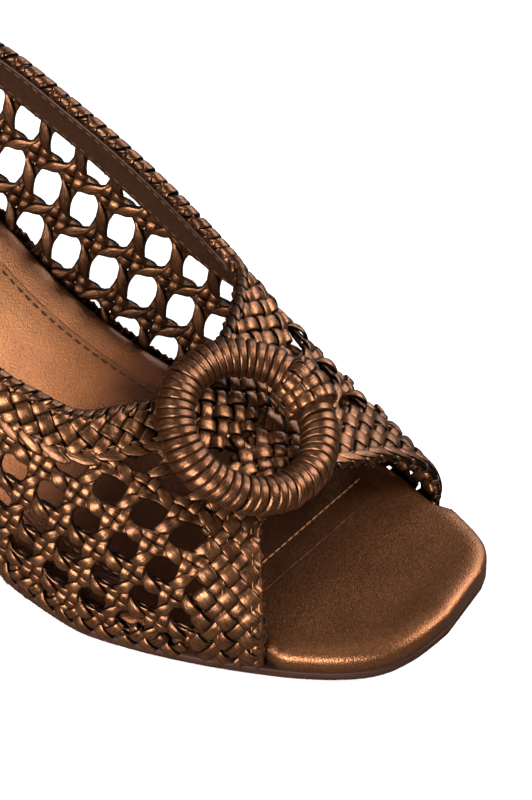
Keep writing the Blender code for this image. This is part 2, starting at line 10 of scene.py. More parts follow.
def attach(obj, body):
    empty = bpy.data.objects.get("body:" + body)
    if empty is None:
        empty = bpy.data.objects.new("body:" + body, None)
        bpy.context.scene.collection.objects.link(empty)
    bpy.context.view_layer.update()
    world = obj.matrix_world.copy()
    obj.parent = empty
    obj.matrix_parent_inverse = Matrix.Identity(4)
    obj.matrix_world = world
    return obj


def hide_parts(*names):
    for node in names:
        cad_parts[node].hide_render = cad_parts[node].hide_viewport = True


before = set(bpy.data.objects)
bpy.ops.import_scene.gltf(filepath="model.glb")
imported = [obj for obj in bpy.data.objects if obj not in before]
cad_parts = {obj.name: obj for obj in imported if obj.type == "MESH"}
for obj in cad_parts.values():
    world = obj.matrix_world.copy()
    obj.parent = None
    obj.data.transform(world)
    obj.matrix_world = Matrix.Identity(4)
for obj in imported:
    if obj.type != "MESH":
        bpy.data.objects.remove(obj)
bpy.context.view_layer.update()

# Outsole: one plate of sole leather bent to the arch of the last and cemented under the footbed.
# Its cut edge is trimmed, rounded and stained dark brown.
OUTSOLE = 3.2
# Edge of the plate: distance in from its outline, height above its underside.
OUTSOLE_EDGE = ((0.8, 0.0), (0.2, 0.2), (0.0, 0.7), (0.0, 2.1), (0.2, 2.45), (0.8, 2.55))
TOE_X = 107.5
MID_Y = -1.227
LENGTH = 215.0
CORNER_EASE = 4.0

# Sole outline: distance behind the toe, outer edge, inner edge.
OUTLINE = np.array([
    (0, -3.8, 11.5), (1, -8.3, 15.5), (3, -14.4, 19.2), (7, -20.7, 22.8), (14, -25.8, 26.8),
    (22, -29.6, 30.4), (32, -33.5, 34.0), (45, -37.7, 36.8), (60, -41.2, 37.9), (75, -43.4, 36.5),
    (90, -43.4, 33.2), (105, -40.0, 29.4), (120, -36.4, 26.8), (135, -33.6, 26.2), (150, -31.8, 25.2),
    (165, -30.8, 24.6), (180, -30.0, 24.2), (195, -27.8, 22.0), (205, -23.4, 17.6), (211, -17.6, 12.0),
    (214, -11.0, 5.6), (215, -4.0, -1.4),
], float)

# Sole underside: distance behind the toe, height above the floor.
UNDERSIDE = np.array([
    (0, 3.0), (12, 1.0), (28, 0.0), (58, 0.0), (72, 0.7), (88, 5.0), (104, 14.4),
    (120, 27.0), (136, 41.0), (152, 52.6), (168, 63.0), (184, 71.2), (200, 76.8), (215, 80.6),
], float)


def hermite(x, y, slope):
    """Cubic through the knots with the given slopes, held level past the ends."""
    step = np.diff(x)

    def value(v):
        v = np.clip(np.asarray(v, float), x[0], x[-1])
        i = np.clip(np.searchsorted(x, v, side="right") - 1, 0, len(x) - 2)
        k = (v - x[i]) / step[i]
        rise = y[i] * (1 + 2 * k) * (1 - k) ** 2 + y[i + 1] * k * k * (3 - 2 * k)
        return rise + step[i] * (slope[i] * k * (1 - k) ** 2 + slope[i + 1] * k * k * (k - 1))

    return value


def fair(table, column):
    """Smooth column of a table against its first column, free of overshoot."""
    x, y = table[:, 0], table[:, column]
    h = np.diff(x)
    d = np.diff(y) / h
    slope = np.concatenate([d[:1], np.zeros(len(x) - 2), d[-1:]])
    near, far = 2 * h[1:] + h[:-1], h[1:] + 2 * h[:-1]
    same = d[:-1] * d[1:] > 0
    slope[1:-1][same] = (near + far)[same] / (near[same] / d[:-1][same] + far[same] / d[1:][same])
    return hermite(x, y, slope)


outer_edge = fair(OUTLINE, 1)
inner_edge = fair(OUTLINE, 2)
underside = fair(UNDERSIDE, 1)
SOLE_STATIONS = np.unique(np.concatenate([
    [0, 0.4, 0.9, 1.6, 2.4, 3.4, 4.5, 5.8, 7.2, 8.8, 10.4], np.linspace(12, 200, 95),
    LENGTH - np.array([0, 0.3, 0.8, 1.5, 2.5, 3.7, 5.2, 7.0, 9.0, 11.0, 13.0])]))


def plan_ring(stations, inset_outer, inset_inner):
    """Closed plan outline: down the outer edge, back up the inner edge, moved inwards."""
    outer = np.stack([-stations, outer_edge(stations)], -1)
    inner = np.stack([-stations, inner_edge(stations)], -1)[::-1]
    loop = np.concatenate([outer, inner])
    inset = np.concatenate([inset_outer, inset_inner[::-1]])
    before = loop - np.roll(loop, 1, axis=0)
    after = np.roll(loop, -1, axis=0) - loop
    side = sum(np.stack([e[:, 1], -e[:, 0]], -1) / np.maximum(np.linalg.norm(e, axis=1), 1e-9)[:, None]
               for e in (before, after))
    run = np.cumsum(np.linalg.norm(before, axis=1))
    apart = np.abs(run[:, None] - run[None, :])
    apart = np.minimum(apart, run[-1] - apart)
    weight = np.exp(-(apart / CORNER_EASE) ** 2) * np.linalg.norm(before + after, axis=1)[None, :]
    side = weight @ side
    side /= np.maximum(np.linalg.norm(side, axis=1), 1e-9)[:, None]
    return loop + side * inset[:, None]


def raised(plan, height):
    return np.column_stack([plan, underside(-plan[:, 0]) + height])


def ring_faces(count, rings):
    """Quads between equal rings of points laid one after another."""
    r, k = np.meshgrid(np.arange(rings - 1), np.arange(count), indexing="ij")
    n = (k + 1) % count
    corners = [r * count + k, r * count + n, (r + 1) * count + n, (r + 1) * count + k]
    return np.stack(corners, -1).reshape(-1, 4)


def ladder(first, half):
    """Faces across a ring whose two halves run the same stations, out and back."""
    k = np.arange(half - 1)
    return np.stack([first + k, first + k + 1, first + 2 * half - 2 - k, first + 2 * half - 1 - k], -1)


def stack_faces(rings):
    """Faces of a closed stack of such rings, laddered across at both ends."""
    half = len(rings[0]) // 2
    ends = [ladder(first, half) for first in (0, 2 * half * (len(rings) - 1))]
    return np.concatenate([ring_faces(2 * half, len(rings)), *ends])


def linear(code):
    """Linear colour of an sRGB hex code."""
    parts = [int(code[i:i + 2], 16) / 255 for i in (1, 3, 5)]
    return (*[c / 12.92 if c <= 0.04045 else ((c + 0.055) / 1.055) ** 2.4 for c in parts], 1.0)


def wire(tree, node, inputs):
    """Sets inputs of a node, each to a value or to a node and the output that feeds it."""
    for key, value in inputs.items():
        if isinstance(value, tuple) and isinstance(value[0], bpy.types.Node):
            tree.links.new(value[0].outputs[value[1]], node.inputs[key])
        else:
            node.inputs[key].default_value = value


def add(tree, kind, inputs=None, stops=(), **settings):
    """New node with its settings, its inputs and, on a colour ramp, its stops as (place, hex code)."""
    made = tree.nodes.new(kind)
    for key, value in settings.items():
        setattr(made, key, value)
    for _ in stops[2:]:
        made.color_ramp.elements.new(0.5)
    for k, (place, code) in enumerate(stops):
        made.color_ramp.elements[k].position = place
        made.color_ramp.elements[k].color = linear(code)
    wire(tree, made, inputs or {})
    return made


def finish_named(name):
    """New material with its node tree and shader."""
    material = bpy.data.materials.new(name)
    material.use_nodes = True
    return material, material.node_tree, material.node_tree.nodes["Principled BSDF"]


def in_metres(points):
    """Points in millimetres behind the toe, moved into the shoe's frame."""
    return (np.asarray(points, float) + (TOE_X, -MID_Y, 0)) * 0.001


def ridden(name, mesh, nodes=()):
    """Named piece of a mesh, riding on the shoe."""
    made = bpy.data.objects.new(name, mesh)
    bpy.context.scene.collection.objects.link(made)
    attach(made, "root")
    if nodes:
        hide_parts(*nodes)
    return made


def piece(name, points, faces, material, nodes=(), turn=True):
    """One closed named piece of one material, points in millimetres."""
    mesh = bpy.data.meshes.new(name)
    mesh.from_pydata(in_metres(points).tolist(), [], [tuple(face) for face in faces])
    if turn:
        work = bmesh.new()
        work.from_mesh(mesh)
        bmesh.ops.recalc_face_normals(work, faces=work.faces)
        work.to_mesh(mesh)
        work.free()
    mesh.shade_smooth()
    mesh.materials.append(material)
    return ridden(name, mesh, nodes)


# Vegetable-tanned sole leather with a stained edge: dull, very dark red-brown with faint layers.
# The fibres run some 17 mm along the sole, in layers about 0.6 mm thick.
LAYERS_A_METRE = (60, 60, 1600)
sole_leather, tree, shader = finish_named("edge_stained_sole_leather")
where = add(tree, "ShaderNodeTexCoord")
layers = add(tree, "ShaderNodeMapping", {"Vector": (where, "Object"), "Scale": LAYERS_A_METRE})
fibre = add(tree, "ShaderNodeTexNoise", {"Vector": (layers, "Vector"), "Scale": 1.0, "Detail": 4.0})
stain = add(tree, "ShaderNodeValToRGB", {"Fac": (fibre, "Fac")}, ((0.3, "#1a0a05"), (0.7, "#32160a")))
press = add(tree, "ShaderNodeBump", {"Height": (fibre, "Fac"), "Strength": 0.3, "Distance": 0.0002})
wire(tree, shader, {"Base Color": (stain, "Color"), "Normal": (press, "Normal"), "Roughness": 0.6,
                    "Specular IOR Level": 0.15})

level = np.zeros(len(SOLE_STATIONS))
rings = [raised(plan_ring(SOLE_STATIONS, level + inset, level + inset), height)
         for inset, height in OUTSOLE_EDGE]
piece("outsole_plate", np.concatenate(rings), stack_faces(rings), sole_leather, ("outsole",))

# Footbed: padded board covered with metallic leather, drawn over a soft roll at the rim.
# It is let in behind the woven wall and stands free of it at the toe.
COVER_INSET = 2.4
# Rolled rim: distance in from the cover's edge, height above the outsole.
RIM = np.array([
    (0.0, -0.5), (0.0, 1.2), (0.06, 2.1), (0.22, 2.75), (0.5, 3.25), (0.95, 3.7), (1.6, 4.12), (2.5, 4.5),
    (3.6, 4.78), (4.9, 4.92), (6.4, 4.92), (8.4, 4.86),
])
DISH = 0.15
FILL = 12
FOIL = 0.85
# Patterns of the foil leather: grain 0.42 mm wide, drawn pulls every 4 mm, cloudy tone every 11 mm.
GRAIN = 0.00042
PULLS_A_METRE = 260.0
CLOUDS_A_METRE = 90.0
# Painted shade under the vamp: the leather darkens by place along the shoe, from the waist to the toe.
VAMP_SHADE_FROM = -0.03
VAMP_SHADE_TO = 0.1
VAMP_SHADE = ((0.14, "#ffffff"), (0.27, "#ecdcc4"), (0.36, "#a88c68"), (0.66, "#aea094"), (0.86, "#ffffff"))


def metallic_leather(name, deep, bright, roughness):
    """Foil-finished leather: fine pebbled grain that glints, and painted shade that darkens it under the
    vamp.
    """
    material, tree, shader = finish_named(name)
    where = (add(tree, "ShaderNodeTexCoord"), "Object")
    cloud = add(tree, "ShaderNodeTexNoise", {"Vector": where, "Scale": CLOUDS_A_METRE, "Detail": 3.0})
    pebble = add(tree, "ShaderNodeTexVoronoi", {"Vector": where, "Scale": 1.0 / GRAIN})
    pore = add(tree, "ShaderNodeTexNoise",
               {"Vector": where, "Scale": 0.6 / GRAIN, "Detail": 5.0, "Roughness": 0.6})
    both = add(tree, "ShaderNodeMath", {0: (pebble, "Distance"), 1: (pore, "Fac")}, operation="ADD")
    mixed = add(tree, "ShaderNodeMath", {0: (cloud, "Fac"), 1: (pore, "Fac")}, operation="MULTIPLY")
    tone = add(tree, "ShaderNodeValToRGB", {"Fac": (mixed, "Value")}, ((0.02, deep), (0.62, bright)))
    parts = add(tree, "ShaderNodeSeparateXYZ", {"Vector": where})
    # Painted shade: the colour is multiplied darker by place along the shoe, under the vamp.
    along = add(tree, "ShaderNodeMapRange",
                {"Value": (parts, "X"), "From Min": VAMP_SHADE_FROM, "From Max": VAMP_SHADE_TO})
    vamp_shade = add(tree, "ShaderNodeValToRGB", {"Fac": (along, "Result")}, VAMP_SHADE)
    vamp_shaded_tone = add(tree, "ShaderNodeVectorMath", {0: (tone, "Color"), 1: (vamp_shade, "Color")},
                  operation="MULTIPLY")
    rub = add(tree, "ShaderNodeMapRange", {"Value": (pore, "Fac"), "From Min": 0.3, "From Max": 0.7,
                                           "To Min": roughness - 0.06, "To Max": roughness + 0.08})
    stretch = add(tree, "ShaderNodeTexNoise", {"Vector": where, "Scale": PULLS_A_METRE, "Detail": 2.0})
    soft = add(tree, "ShaderNodeBump", {"Height": (stretch, "Fac"), "Strength": 0.08, "Distance": 0.0006})
    fine = add(tree, "ShaderNodeBump", {"Height": (both, "Value"), "Strength": 0.5, "Distance": 0.00012,
                                        "Normal": (soft, "Normal")})
    wire(tree, shader, {"Base Color": (vamp_shaded_tone, "Vector"), "Metallic": FOIL,
                        "Roughness": (rub, "Result"), "Normal": (fine, "Normal")})
    return material


def filled(rings, fill, dish):
    """Rings of a pad closed below by a ladder and above by a grid that sinks to a shallow dish."""
    half = len(rings[0]) // 2
    lip = rings[-1]
    left, right = lip[:half], lip[half:][::-1]
    share = np.linspace(0, 1, fill + 1)
    cross = left[:, None, :] * (1 - share)[None, :, None] + right[:, None, :] * share[None, :, None]
    top = lip[0, 2] - underside(-lip[0, 0])
    reach = np.clip(np.minimum(-left[:, 0] + left[0, 0], left[:, 0] - left[-1, 0]) / 10, 0, 1) ** 0.5
    cross[:, :, 2] = underside(-cross[:, :, 0]) + top - dish * reach[:, None] * np.sin(np.pi * share) ** 0.5
    first = 2 * half * (len(rings) - 1)
    row = np.arange(half)
    grid = np.empty((half, fill + 1), int)
    grid[:, 0] = first + row
    grid[:, -1] = first + 2 * half - 1 - row
    grid[:, 1:-1] = first + 2 * half + np.arange(half * (fill - 1)).reshape(half, fill - 1) - (fill - 1)
    cells = np.stack([grid[1:-2, :-1], grid[2:-1, :-1], grid[2:-1, 1:], grid[1:-2, 1:]], -1).reshape(-1, 4)
    faces = np.concatenate([ring_faces(2 * half, len(rings)), ladder(0, half), cells]).tolist()
    faces.append([*grid[0, [-1, 0]], *grid[1]])
    faces.append([*grid[-1, [0, -1]], *grid[-2][::-1]])
    return np.concatenate(rings + [cross[1:-1, 1:-1].reshape(-1, 3)]), faces


footbed_leather = metallic_leather("bronze_foil_nappa", "#55321d", "#784d2e", 0.37)

LET_IN = [0, 0, COVER_INSET, COVER_INSET, 0, 0]
let_in_outer = np.interp(SOLE_STATIONS, [0, 27.5, 30.5, 194, 200, LENGTH], LET_IN)
let_in_inner = np.interp(SOLE_STATIONS, [0, 16.5, 19.5, 194, 200, LENGTH], LET_IN)
rings = [raised(plan_ring(SOLE_STATIONS, let_in_outer + inset, let_in_inner + inset), OUTSOLE + height)
         for inset, height in RIM]
points, faces = filled(rings, FILL, DISH)
footbed = piece("footbed_cover", points, faces, footbed_leather, ("footbed",))

# Sock: thin lining leaf glued on the flat of the footbed and sewn round its edge, slanted in front.
# It is the same foil leather, a shade deeper than the cover.
GAP = 0.3
SEAT_INSET = 2.9
FOOTBED_FLAT = 4.6
SOCK_EDGE = 9.0
SOCK_FRONT = 37.0
SOCK_SLANT = math.tan(math.radians(10))
SOCK_SLANT_END = 80
SOCK_BACK = 203.0
SOCK_FILL = 10
SOCK_DISH = 0.05
# Lip of the leaf: distance in from its edge, height on the footbed.
SOCK_LIP = ((0.0, -0.3), (0.0, 0.02), (0.12, 0.1), (0.4, 0.1), (0.8, 0.1))
# Rings of the lip that take the painted shade.
SHADED_EDGE_RINGS = 2
PLIES_A_METRE = 2500.0
sock_leather = metallic_leather("bronze_foil_lining", "#4e2e19", "#704626", 0.4)

leaf_s = np.concatenate([np.arange(SOCK_FRONT, 200, 2.0), [200.0, 201.5, SOCK_BACK]])
slanted = np.clip((SOCK_SLANT_END - leaf_s) / (SOCK_SLANT_END - SOCK_FRONT), 0, 1) * SOCK_SLANT
tuck = np.interp(leaf_s, [199, 201.5, SOCK_BACK], [0, 1.2, 4.0])
sock_base = OUTSOLE + GAP + FOOTBED_FLAT
rings = []
for inset, height in SOCK_LIP:
    outer = outer_edge(leaf_s) + SEAT_INSET + SOCK_EDGE + inset + tuck
    inner = inner_edge(leaf_s) - SEAT_INSET - SOCK_EDGE - inset - tuck
    line = leaf_s + np.where(leaf_s == SOCK_FRONT, inset, 0.0)
    lip_s = np.concatenate([line - outer * slanted, (line - inner * slanted)[::-1]])
    rings.append(raised(np.stack([-lip_s, np.concatenate([outer, inner[::-1]])], -1), sock_base + height))
points, faces = filled(rings, SOCK_FILL, SOCK_DISH)
sock = piece("sock_leaf", points, faces, sock_leather, ("sock",))

# Edge of the lining: a near-black colour painted on as shade, a fine dark line round the leaf.
sock_edge_shade, tree, shader = finish_named("sock_edge_painted_shade")
wire(tree, shader, {"Base Color": linear("#1c0f08"), "Roughness": 0.7, "Specular IOR Level": 0.1})
sock.data.materials.append(sock_edge_shade)
for face in range(SHADED_EDGE_RINGS * len(rings[0])):
    sock.data.polygons[face].material_index = 1


def dyed_thread(name, code):
    """Bonded sewing thread, slightly waxy, its ply drawn coarser than life at 0.4 mm."""
    material, tree, shader = finish_named(name)
    where = add(tree, "ShaderNodeTexCoord")
    ply = add(tree, "ShaderNodeTexNoise", {"Vector": (where, "Object"), "Scale": PLIES_A_METRE})
    ridge = add(tree, "ShaderNodeBump", {"Height": (ply, "Fac"), "Strength": 0.4, "Distance": 0.0001})
    wire(tree, shader, {"Base Color": linear(code), "Normal": (ridge, "Normal"), "Roughness": 0.6,
                        "Specular IOR Level": 0.2})
    return material


def growth_tree(name, **values):
    """Node tree with a mesh and some values coming in and a mesh going out."""
    tree = bpy.data.node_groups.new(name, "GeometryNodeTree")
    tree.interface.new_socket("Seed", in_out="INPUT", socket_type="NodeSocketGeometry")
    sockets = []
    for label, kind in values.items():
        sockets.append(tree.interface.new_socket(label, in_out="INPUT", socket_type=kind).identifier)
    tree.interface.new_socket("Grown", in_out="OUTPUT", socket_type="NodeSocketGeometry")
    return tree, add(tree, "NodeGroupInput"), sockets


def lay_copies(tree, material, inputs):
    """Ends a tree with copies on points, joined as one smooth mesh of one material."""
    laid = add(tree, "GeometryNodeInstanceOnPoints", inputs)
    real = add(tree, "GeometryNodeRealizeInstances", {"Geometry": (laid, "Instances")})
    soft = add(tree, "GeometryNodeSetShadeSmooth", {"Geometry": (real, "Geometry")})
    coloured = add(tree, "GeometryNodeSetMaterial", {"Geometry": (soft, "Geometry"), "Material": material})
    add(tree, "NodeGroupOutput", {"Grown": (coloured, "Geometry")})


def stitch_row(thread):
    """Tree that sets one rounded stitch at each step along an edge chain, flat on its surface."""
    kind = "NodeSocketFloat"
    tree, start, sockets = growth_tree("stitch_row", Pitch=kind, Stitch=kind, Thread=kind)
    curve = add(tree, "GeometryNodeMeshToCurve", {"Mesh": (start, "Seed")})
    even = add(tree, "GeometryNodeResampleCurve", {"Curve": (curve, "Curve"), "Length": (start, "Pitch")},
               mode="LENGTH")
    course = add(tree, "GeometryNodeInputTangent")
    lift = add(tree, "GeometryNodeInputNamedAttribute", {"Name": "lift"}, data_type="FLOAT_VECTOR")
    ahead = add(tree, "FunctionNodeAlignRotationToVector", {"Vector": (course, "Tangent")}, axis="X")
    upright = add(tree, "FunctionNodeAlignRotationToVector",
                  {"Rotation": (ahead, "Rotation"), "Vector": (lift, "Attribute")}, axis="Z", pivot_axis="X")
    bead = add(tree, "GeometryNodeMeshUVSphere", {"Segments": 8, "Rings": 5, "Radius": 0.5})
    thick = (start, "Thread")
    size = add(tree, "ShaderNodeCombineXYZ", {"X": (start, "Stitch"), "Y": thick, "Z": thick})
    lay_copies(tree, thread, {"Points": (even, "Curve"), "Instance": (bead, "Mesh"),
                              "Rotation": (upright, "Rotation"), "Scale": (size, "Vector")})
    return tree, sockets


def grown(name, source, tree, values, place=None):
    """Plain mesh piece from a source mesh and a node tree; values go by socket."""
    seed = bpy.data.objects.new(name + "_source", source)
    bpy.context.scene.collection.objects.link(seed)
    modifier = seed.modifiers.new("growth", "NODES")
    modifier.node_group = tree
    for key, value in values:
        modifier[key] = value
    ready = seed.evaluated_get(bpy.context.evaluated_depsgraph_get())
    mesh = bpy.data.meshes.new_from_object(ready)
    mesh.name = name
    bpy.data.objects.remove(seed, do_unlink=True)
    if place is not None:
        mesh.transform(place)
    return ridden(name, mesh)


def keep_vectors(mesh, label, vectors):
    """Stores a vector for each point of a mesh."""
    values = vectors.astype(np.float32).ravel()
    mesh.attributes.new(label, "FLOAT_VECTOR", "POINT").data.foreach_set("vector", values)


def sew(name, runs, row, sizes):
    """Rows of stitches along (points, ways up) pairs; sizes are pitch, stitch and thread in metres."""
    mesh = bpy.data.meshes.new("run")
    edges = []
    first = 0
    for run, _ in runs:
        edges += [(first + k, first + k + 1) for k in range(len(run) - 1)]
        first += len(run)
    mesh.from_pydata(in_metres(np.concatenate([run for run, _ in runs])).tolist(), edges, [])
    keep_vectors(mesh, "lift", np.concatenate([lift for _, lift in runs]))
    tree, sockets = row
    grown(name, mesh, tree, zip(sockets, sizes))


SOCK_SEAM = 1.6
SOCK_FRONT_SEAM = 6.0
SEAM_RISE = 0.25
brown_row = stitch_row(dyed_thread("brown_bonded_thread", "#422917"))
tan_row = stitch_row(dyed_thread("tan_bonded_thread", "#7a4f2e"))
seam_s = np.arange(SOCK_FRONT + SOCK_FRONT_SEAM + 3, 200.0)
slope = underside(seam_s + 0.5) - underside(seam_s - 0.5)
seam_up = np.stack([slope, 0 * slope, 1 + 0 * slope], -1)
runs = []
for edge, side in ((outer_edge, 1), (inner_edge, -1)):
    y = edge(seam_s) + side * (SEAT_INSET + SOCK_EDGE + SOCK_SEAM)
    runs.append((raised(np.stack([-seam_s, y], -1), sock_base + SEAM_RISE), seam_up))
sew("sock_stitching", runs, brown_row, (0.0026, 0.0019, 0.00055))
y = np.linspace(runs[0][0][0, 1], runs[1][0][0, 1], 40)
front_seam_s = SOCK_FRONT + SOCK_FRONT_SEAM - y * SOCK_SLANT
front_seam = raised(np.stack([-front_seam_s, y], -1), sock_base + SEAM_RISE)
sew("sock_front_stitching", [(front_seam, np.tile((0.0, 0.0, 1.0), (len(y), 1)))], tan_row,
    (0.0022, 0.0023, 0.0005))

# Upper: narrow strips of foil leather, folded and interlaced on the last into one open wall.
# Pairs of strips cross and two sets of slanting strips lock them, between a plaited collar and front band.
UPPER_INSET = 0.4
COLLAR_BAND = 12.0
THROAT = (149.0, 203.0)
THROAT_REACH = 15.5
THROAT_BAND = 17.0
STRIP = 0.9

# Sections of the last: distance behind the toe, then y and z of the outer shoulder,
# the crown and the inner shoulder. Behind the throat the shoulders carry the collar.
LAST = np.array([
    (12, -21.0, 10.5, 1, 18.5, 24.0, 11.0), (20, -25.5, 14.5, 1, 24.0, 28.2, 14.0),
    (30, -29.0, 19.5, 0, 29.5, 31.4, 17.8), (40, -31.5, 24.5, -1, 34.5, 34.0, 21.6),
    (51, -33.5, 30.0, -2, 39.8, 35.6, 26.8), (61, -34.8, 35.2, -2, 44.6, 36.3, 33.6),
    (72, -35.2, 41.0, -1, 50.5, 36.8, 42.8), (80, -35.0, 45.0, 0, 55.5, 37.0, 50.0),
    (90, -34.6, 52.0, 0, 62.5, 36.4, 59.2), (100, -33.8, 60.0, 1, 70.0, 35.7, 67.4),
    (110, -33.1, 68.0, 1, 77.5, 35.0, 74.5), (120, -32.2, 75.5, 1, 85.0, 34.7, 80.0),
    (136, -30.6, 85.6, 0, 97.0, 33.3, 89.5), (150, -29.6, 91.0, 0, 107.0, 31.0, 94.2),
    (165, -29.0, 93.0, 0, 112.0, 28.5, 95.5), (180, -28.6, 91.5, -1, 112.0, 26.0, 93.0),
    (196, -26.5, 88.0, -2, 106.0, 22.0, 89.0),
], float)

# Edges of the woven wall: distance behind the toe and place round the section,
# 0 at the outer sole edge, 1 outer shoulder, 2 crown, 3 inner shoulder, 4 inner sole edge.
TOPLINE = np.array([
    (192, 0.00), (188, 0.34), (182, 0.70), (174, 0.92), (162, 1.00), (148, 1.02), (134, 1.02), (120, 1.03),
    (109, 1.05), (99, 1.10), (90.3, 1.21), (82.2, 1.32), (76.1, 1.52), (70.9, 1.74), (68.6, 2.00),
    (68.4, 2.22), (69.5, 2.42), (73.4, 2.73), (79, 2.95), (88, 2.99), (98, 2.98), (109, 2.98),
    (120, 2.97), (134, 2.98), (148, 2.98), (162, 3.00), (174, 3.08), (182, 3.30), (188, 3.66), (192, 4.00),
], float)
FRONT_EDGE = np.array([
    (20, 4.00), (20.7, 3.66), (21.8, 3.34), (23.6, 3.06), (26.5, 2.80), (29.7, 2.59), (31.3, 2.42),
    (33.0, 2.29), (35.4, 2.15), (38.0, 1.98), (40.0, 1.75), (39.8, 1.48), (36.6, 1.28), (33.1, 1.00),
    (30.9, 0.50), (30.8, 0.00),
], float)
BAND_REAR = np.array([
    (39, 4.00), (38.5, 3.60), (39.5, 3.20), (41.5, 2.90), (43.5, 2.66), (47, 2.40), (51, 2.25),
    (51, 1.45), (48.8, 1.25), (47.1, 1.03), (46, 0.65), (47.2, 0.16), (49, 0.00),
], float)

# Cane lattice of each side wall in (s, height up the wall): one crossing and the two steps.
CANE = {
    -1: dict(node=(66.9, 36.5), along=(-9.2, -3.8), up=(-3.2, 8.8)),
    1: dict(node=(113.7, 43.2), along=(-8.9, -3.8), up=(-2.8, 12.0)),
}
SOLE_EDGE = {-1: 0.0, 1: 4.0}


def smooth(x, y):
    """Smooth curve through points with uneven knots."""
    h = np.diff(x)
    d = np.diff(y) / h
    inner = (d[:-1] * h[1:] + d[1:] * h[:-1]) / (h[:-1] + h[1:])
    return hermite(x, y, np.concatenate([d[:1], inner, d[-1:]]))


last_column = [smooth(LAST[:, 0], LAST[:, c]) for c in range(1, LAST.shape[1])]


def seat_height(s):
    return underside(s) + OUTSOLE + GAP


def section_point(s, u):
    """Point of the wall's outer face at section s, place u round it."""
    s, u = np.broadcast_arrays(np.asarray(s, float), np.asarray(u, float))
    y1, z1, y2, z2, y3, z3 = (column(s) for column in last_column)
    seat = seat_height(s)
    ys = np.stack([outer_edge(s) + UPPER_INSET, y1, y2, y3, inner_edge(s) - UPPER_INSET], -1)
    zs = np.stack([seat, z1, z2, z3, seat], -1)
    i = np.clip(u.astype(int), 0, 3)
    k = u - i
    place = []
    for knots in (ys, zs):
        slope = np.empty_like(knots)
        slope[..., 1:-1] = (knots[..., 2:] - knots[..., :-2]) / 2
        slope[..., 0] = (3 * (knots[..., 1] - knots[..., 0]) - slope[..., 1]) / 2
        slope[..., -1] = (3 * (knots[..., -1] - knots[..., -2]) - slope[..., -2]) / 2
        a, b, ta, tb = (np.take_along_axis(table, index[..., None], -1)[..., 0]
                        for table, index in ((knots, i), (knots, i + 1), (slope, i), (slope, i + 1)))
        place.append(a * (1 + 2 * k) * (1 - k) ** 2 + b * k * k * (3 - 2 * k)
                     + ta * k * (1 - k) ** 2 + tb * k * k * (k - 1))
    return np.stack([-s, place[0], place[1]], -1)


# Length round each section, measured from the crown, so that (s, q) is a flat pattern.
PATTERN_S = np.arange(LAST[0, 0], LAST[-1, 0] + 1.0)
PATTERN_U = np.linspace(0, 4, 161)
pattern_steps = np.linalg.norm(np.diff(section_point(PATTERN_S[:, None], PATTERN_U[None, :]), axis=1), axis=2)
PATTERN_Q = np.concatenate([np.zeros((len(PATTERN_S), 1)), np.cumsum(pattern_steps, axis=1)], axis=1)
PATTERN_Q -= PATTERN_Q[:, len(PATTERN_U) // 2][:, None]
ROW_SPAN = 1000.0
PLACE_SPAN = 8.0
ROWS = np.arange(len(PATTERN_S))
WIDE_Q = (PATTERN_Q + ROW_SPAN * ROWS[:, None]).ravel()
WIDE_U = np.tile(PATTERN_U, len(PATTERN_S)) + PLACE_SPAN * np.repeat(ROWS, len(PATTERN_U))


def pattern_row(s):
    """Row of the pattern below each s, and the share of the next row."""
    row = np.clip(np.asarray(s, float) - PATTERN_S[0], 0.0, len(PATTERN_S) - 1.001)
    return row.astype(int), row - row.astype(int)


def pattern_u(s, q):
    i, k = pattern_row(s)
    mixed = 0.0
    for row, part in ((i, 1 - k), (i + 1, k)):
        held_q = np.clip(q, PATTERN_Q[row, 0], PATTERN_Q[row, -1])
        mixed = mixed + part * (np.interp(held_q + ROW_SPAN * row, WIDE_Q, WIDE_U) - PLACE_SPAN * row)
    return mixed


def pattern_q(s, u):
    i, k = pattern_row(s)
    u = np.broadcast_to(np.asarray(u, float), np.shape(s))
    column = np.clip(u / 4 * (len(PATTERN_U) - 1), 0, len(PATTERN_U) - 1.001)
    c, f = column.astype(int), column - column.astype(int)
    low = PATTERN_Q[i, c] * (1 - f) + PATTERN_Q[i, c + 1] * f
    high = PATTERN_Q[i + 1, c] * (1 - f) + PATTERN_Q[i + 1, c + 1] * f
    return low * (1 - k) + high * k


def surface(flat):
    """Outer face at flat-pattern points (s, q)."""
    return section_point(flat[:, 0], pattern_u(flat[:, 0], flat[:, 1]))


def tangents(flat, step=0.4):
    along = (surface(flat + (step, 0)) - surface(flat - (step, 0))) / (2 * step)
    inwards = np.where(flat[:, 1] < 0, step, -step)
    across = (surface(flat + np.stack([0 * inwards, inwards], -1)) - surface(flat)) / inwards[:, None]
    return along, across


def unit(v):
    return v / np.maximum(np.linalg.norm(v, axis=-1, keepdims=True), 1e-9)


def normals(flat):
    along, across = tangents(flat)
    return unit(np.cross(across, along))


def run_along(points):
    """Distance along a line of points from its start."""
    return np.concatenate([[0], np.cumsum(np.linalg.norm(np.diff(points, axis=0), axis=1))])


def trace(table, step):
    """Even points along an edge table, as flat-pattern points."""
    knots = np.arange(len(table), dtype=float)
    fine = np.linspace(0, knots[-1], 40 * len(table))
    s = smooth(knots, table[:, 0])(fine)
    u = np.clip(smooth(knots, table[:, 1])(fine), 0, 4)
    flat = np.stack([s, pattern_q(s, u)], -1)
    run = run_along(surface(flat))
    even = np.linspace(0, run[-1], max(2, round(run[-1] / step)) + 1)
    return np.stack([np.interp(even, run, flat[:, c]) for c in (0, 1)], -1)


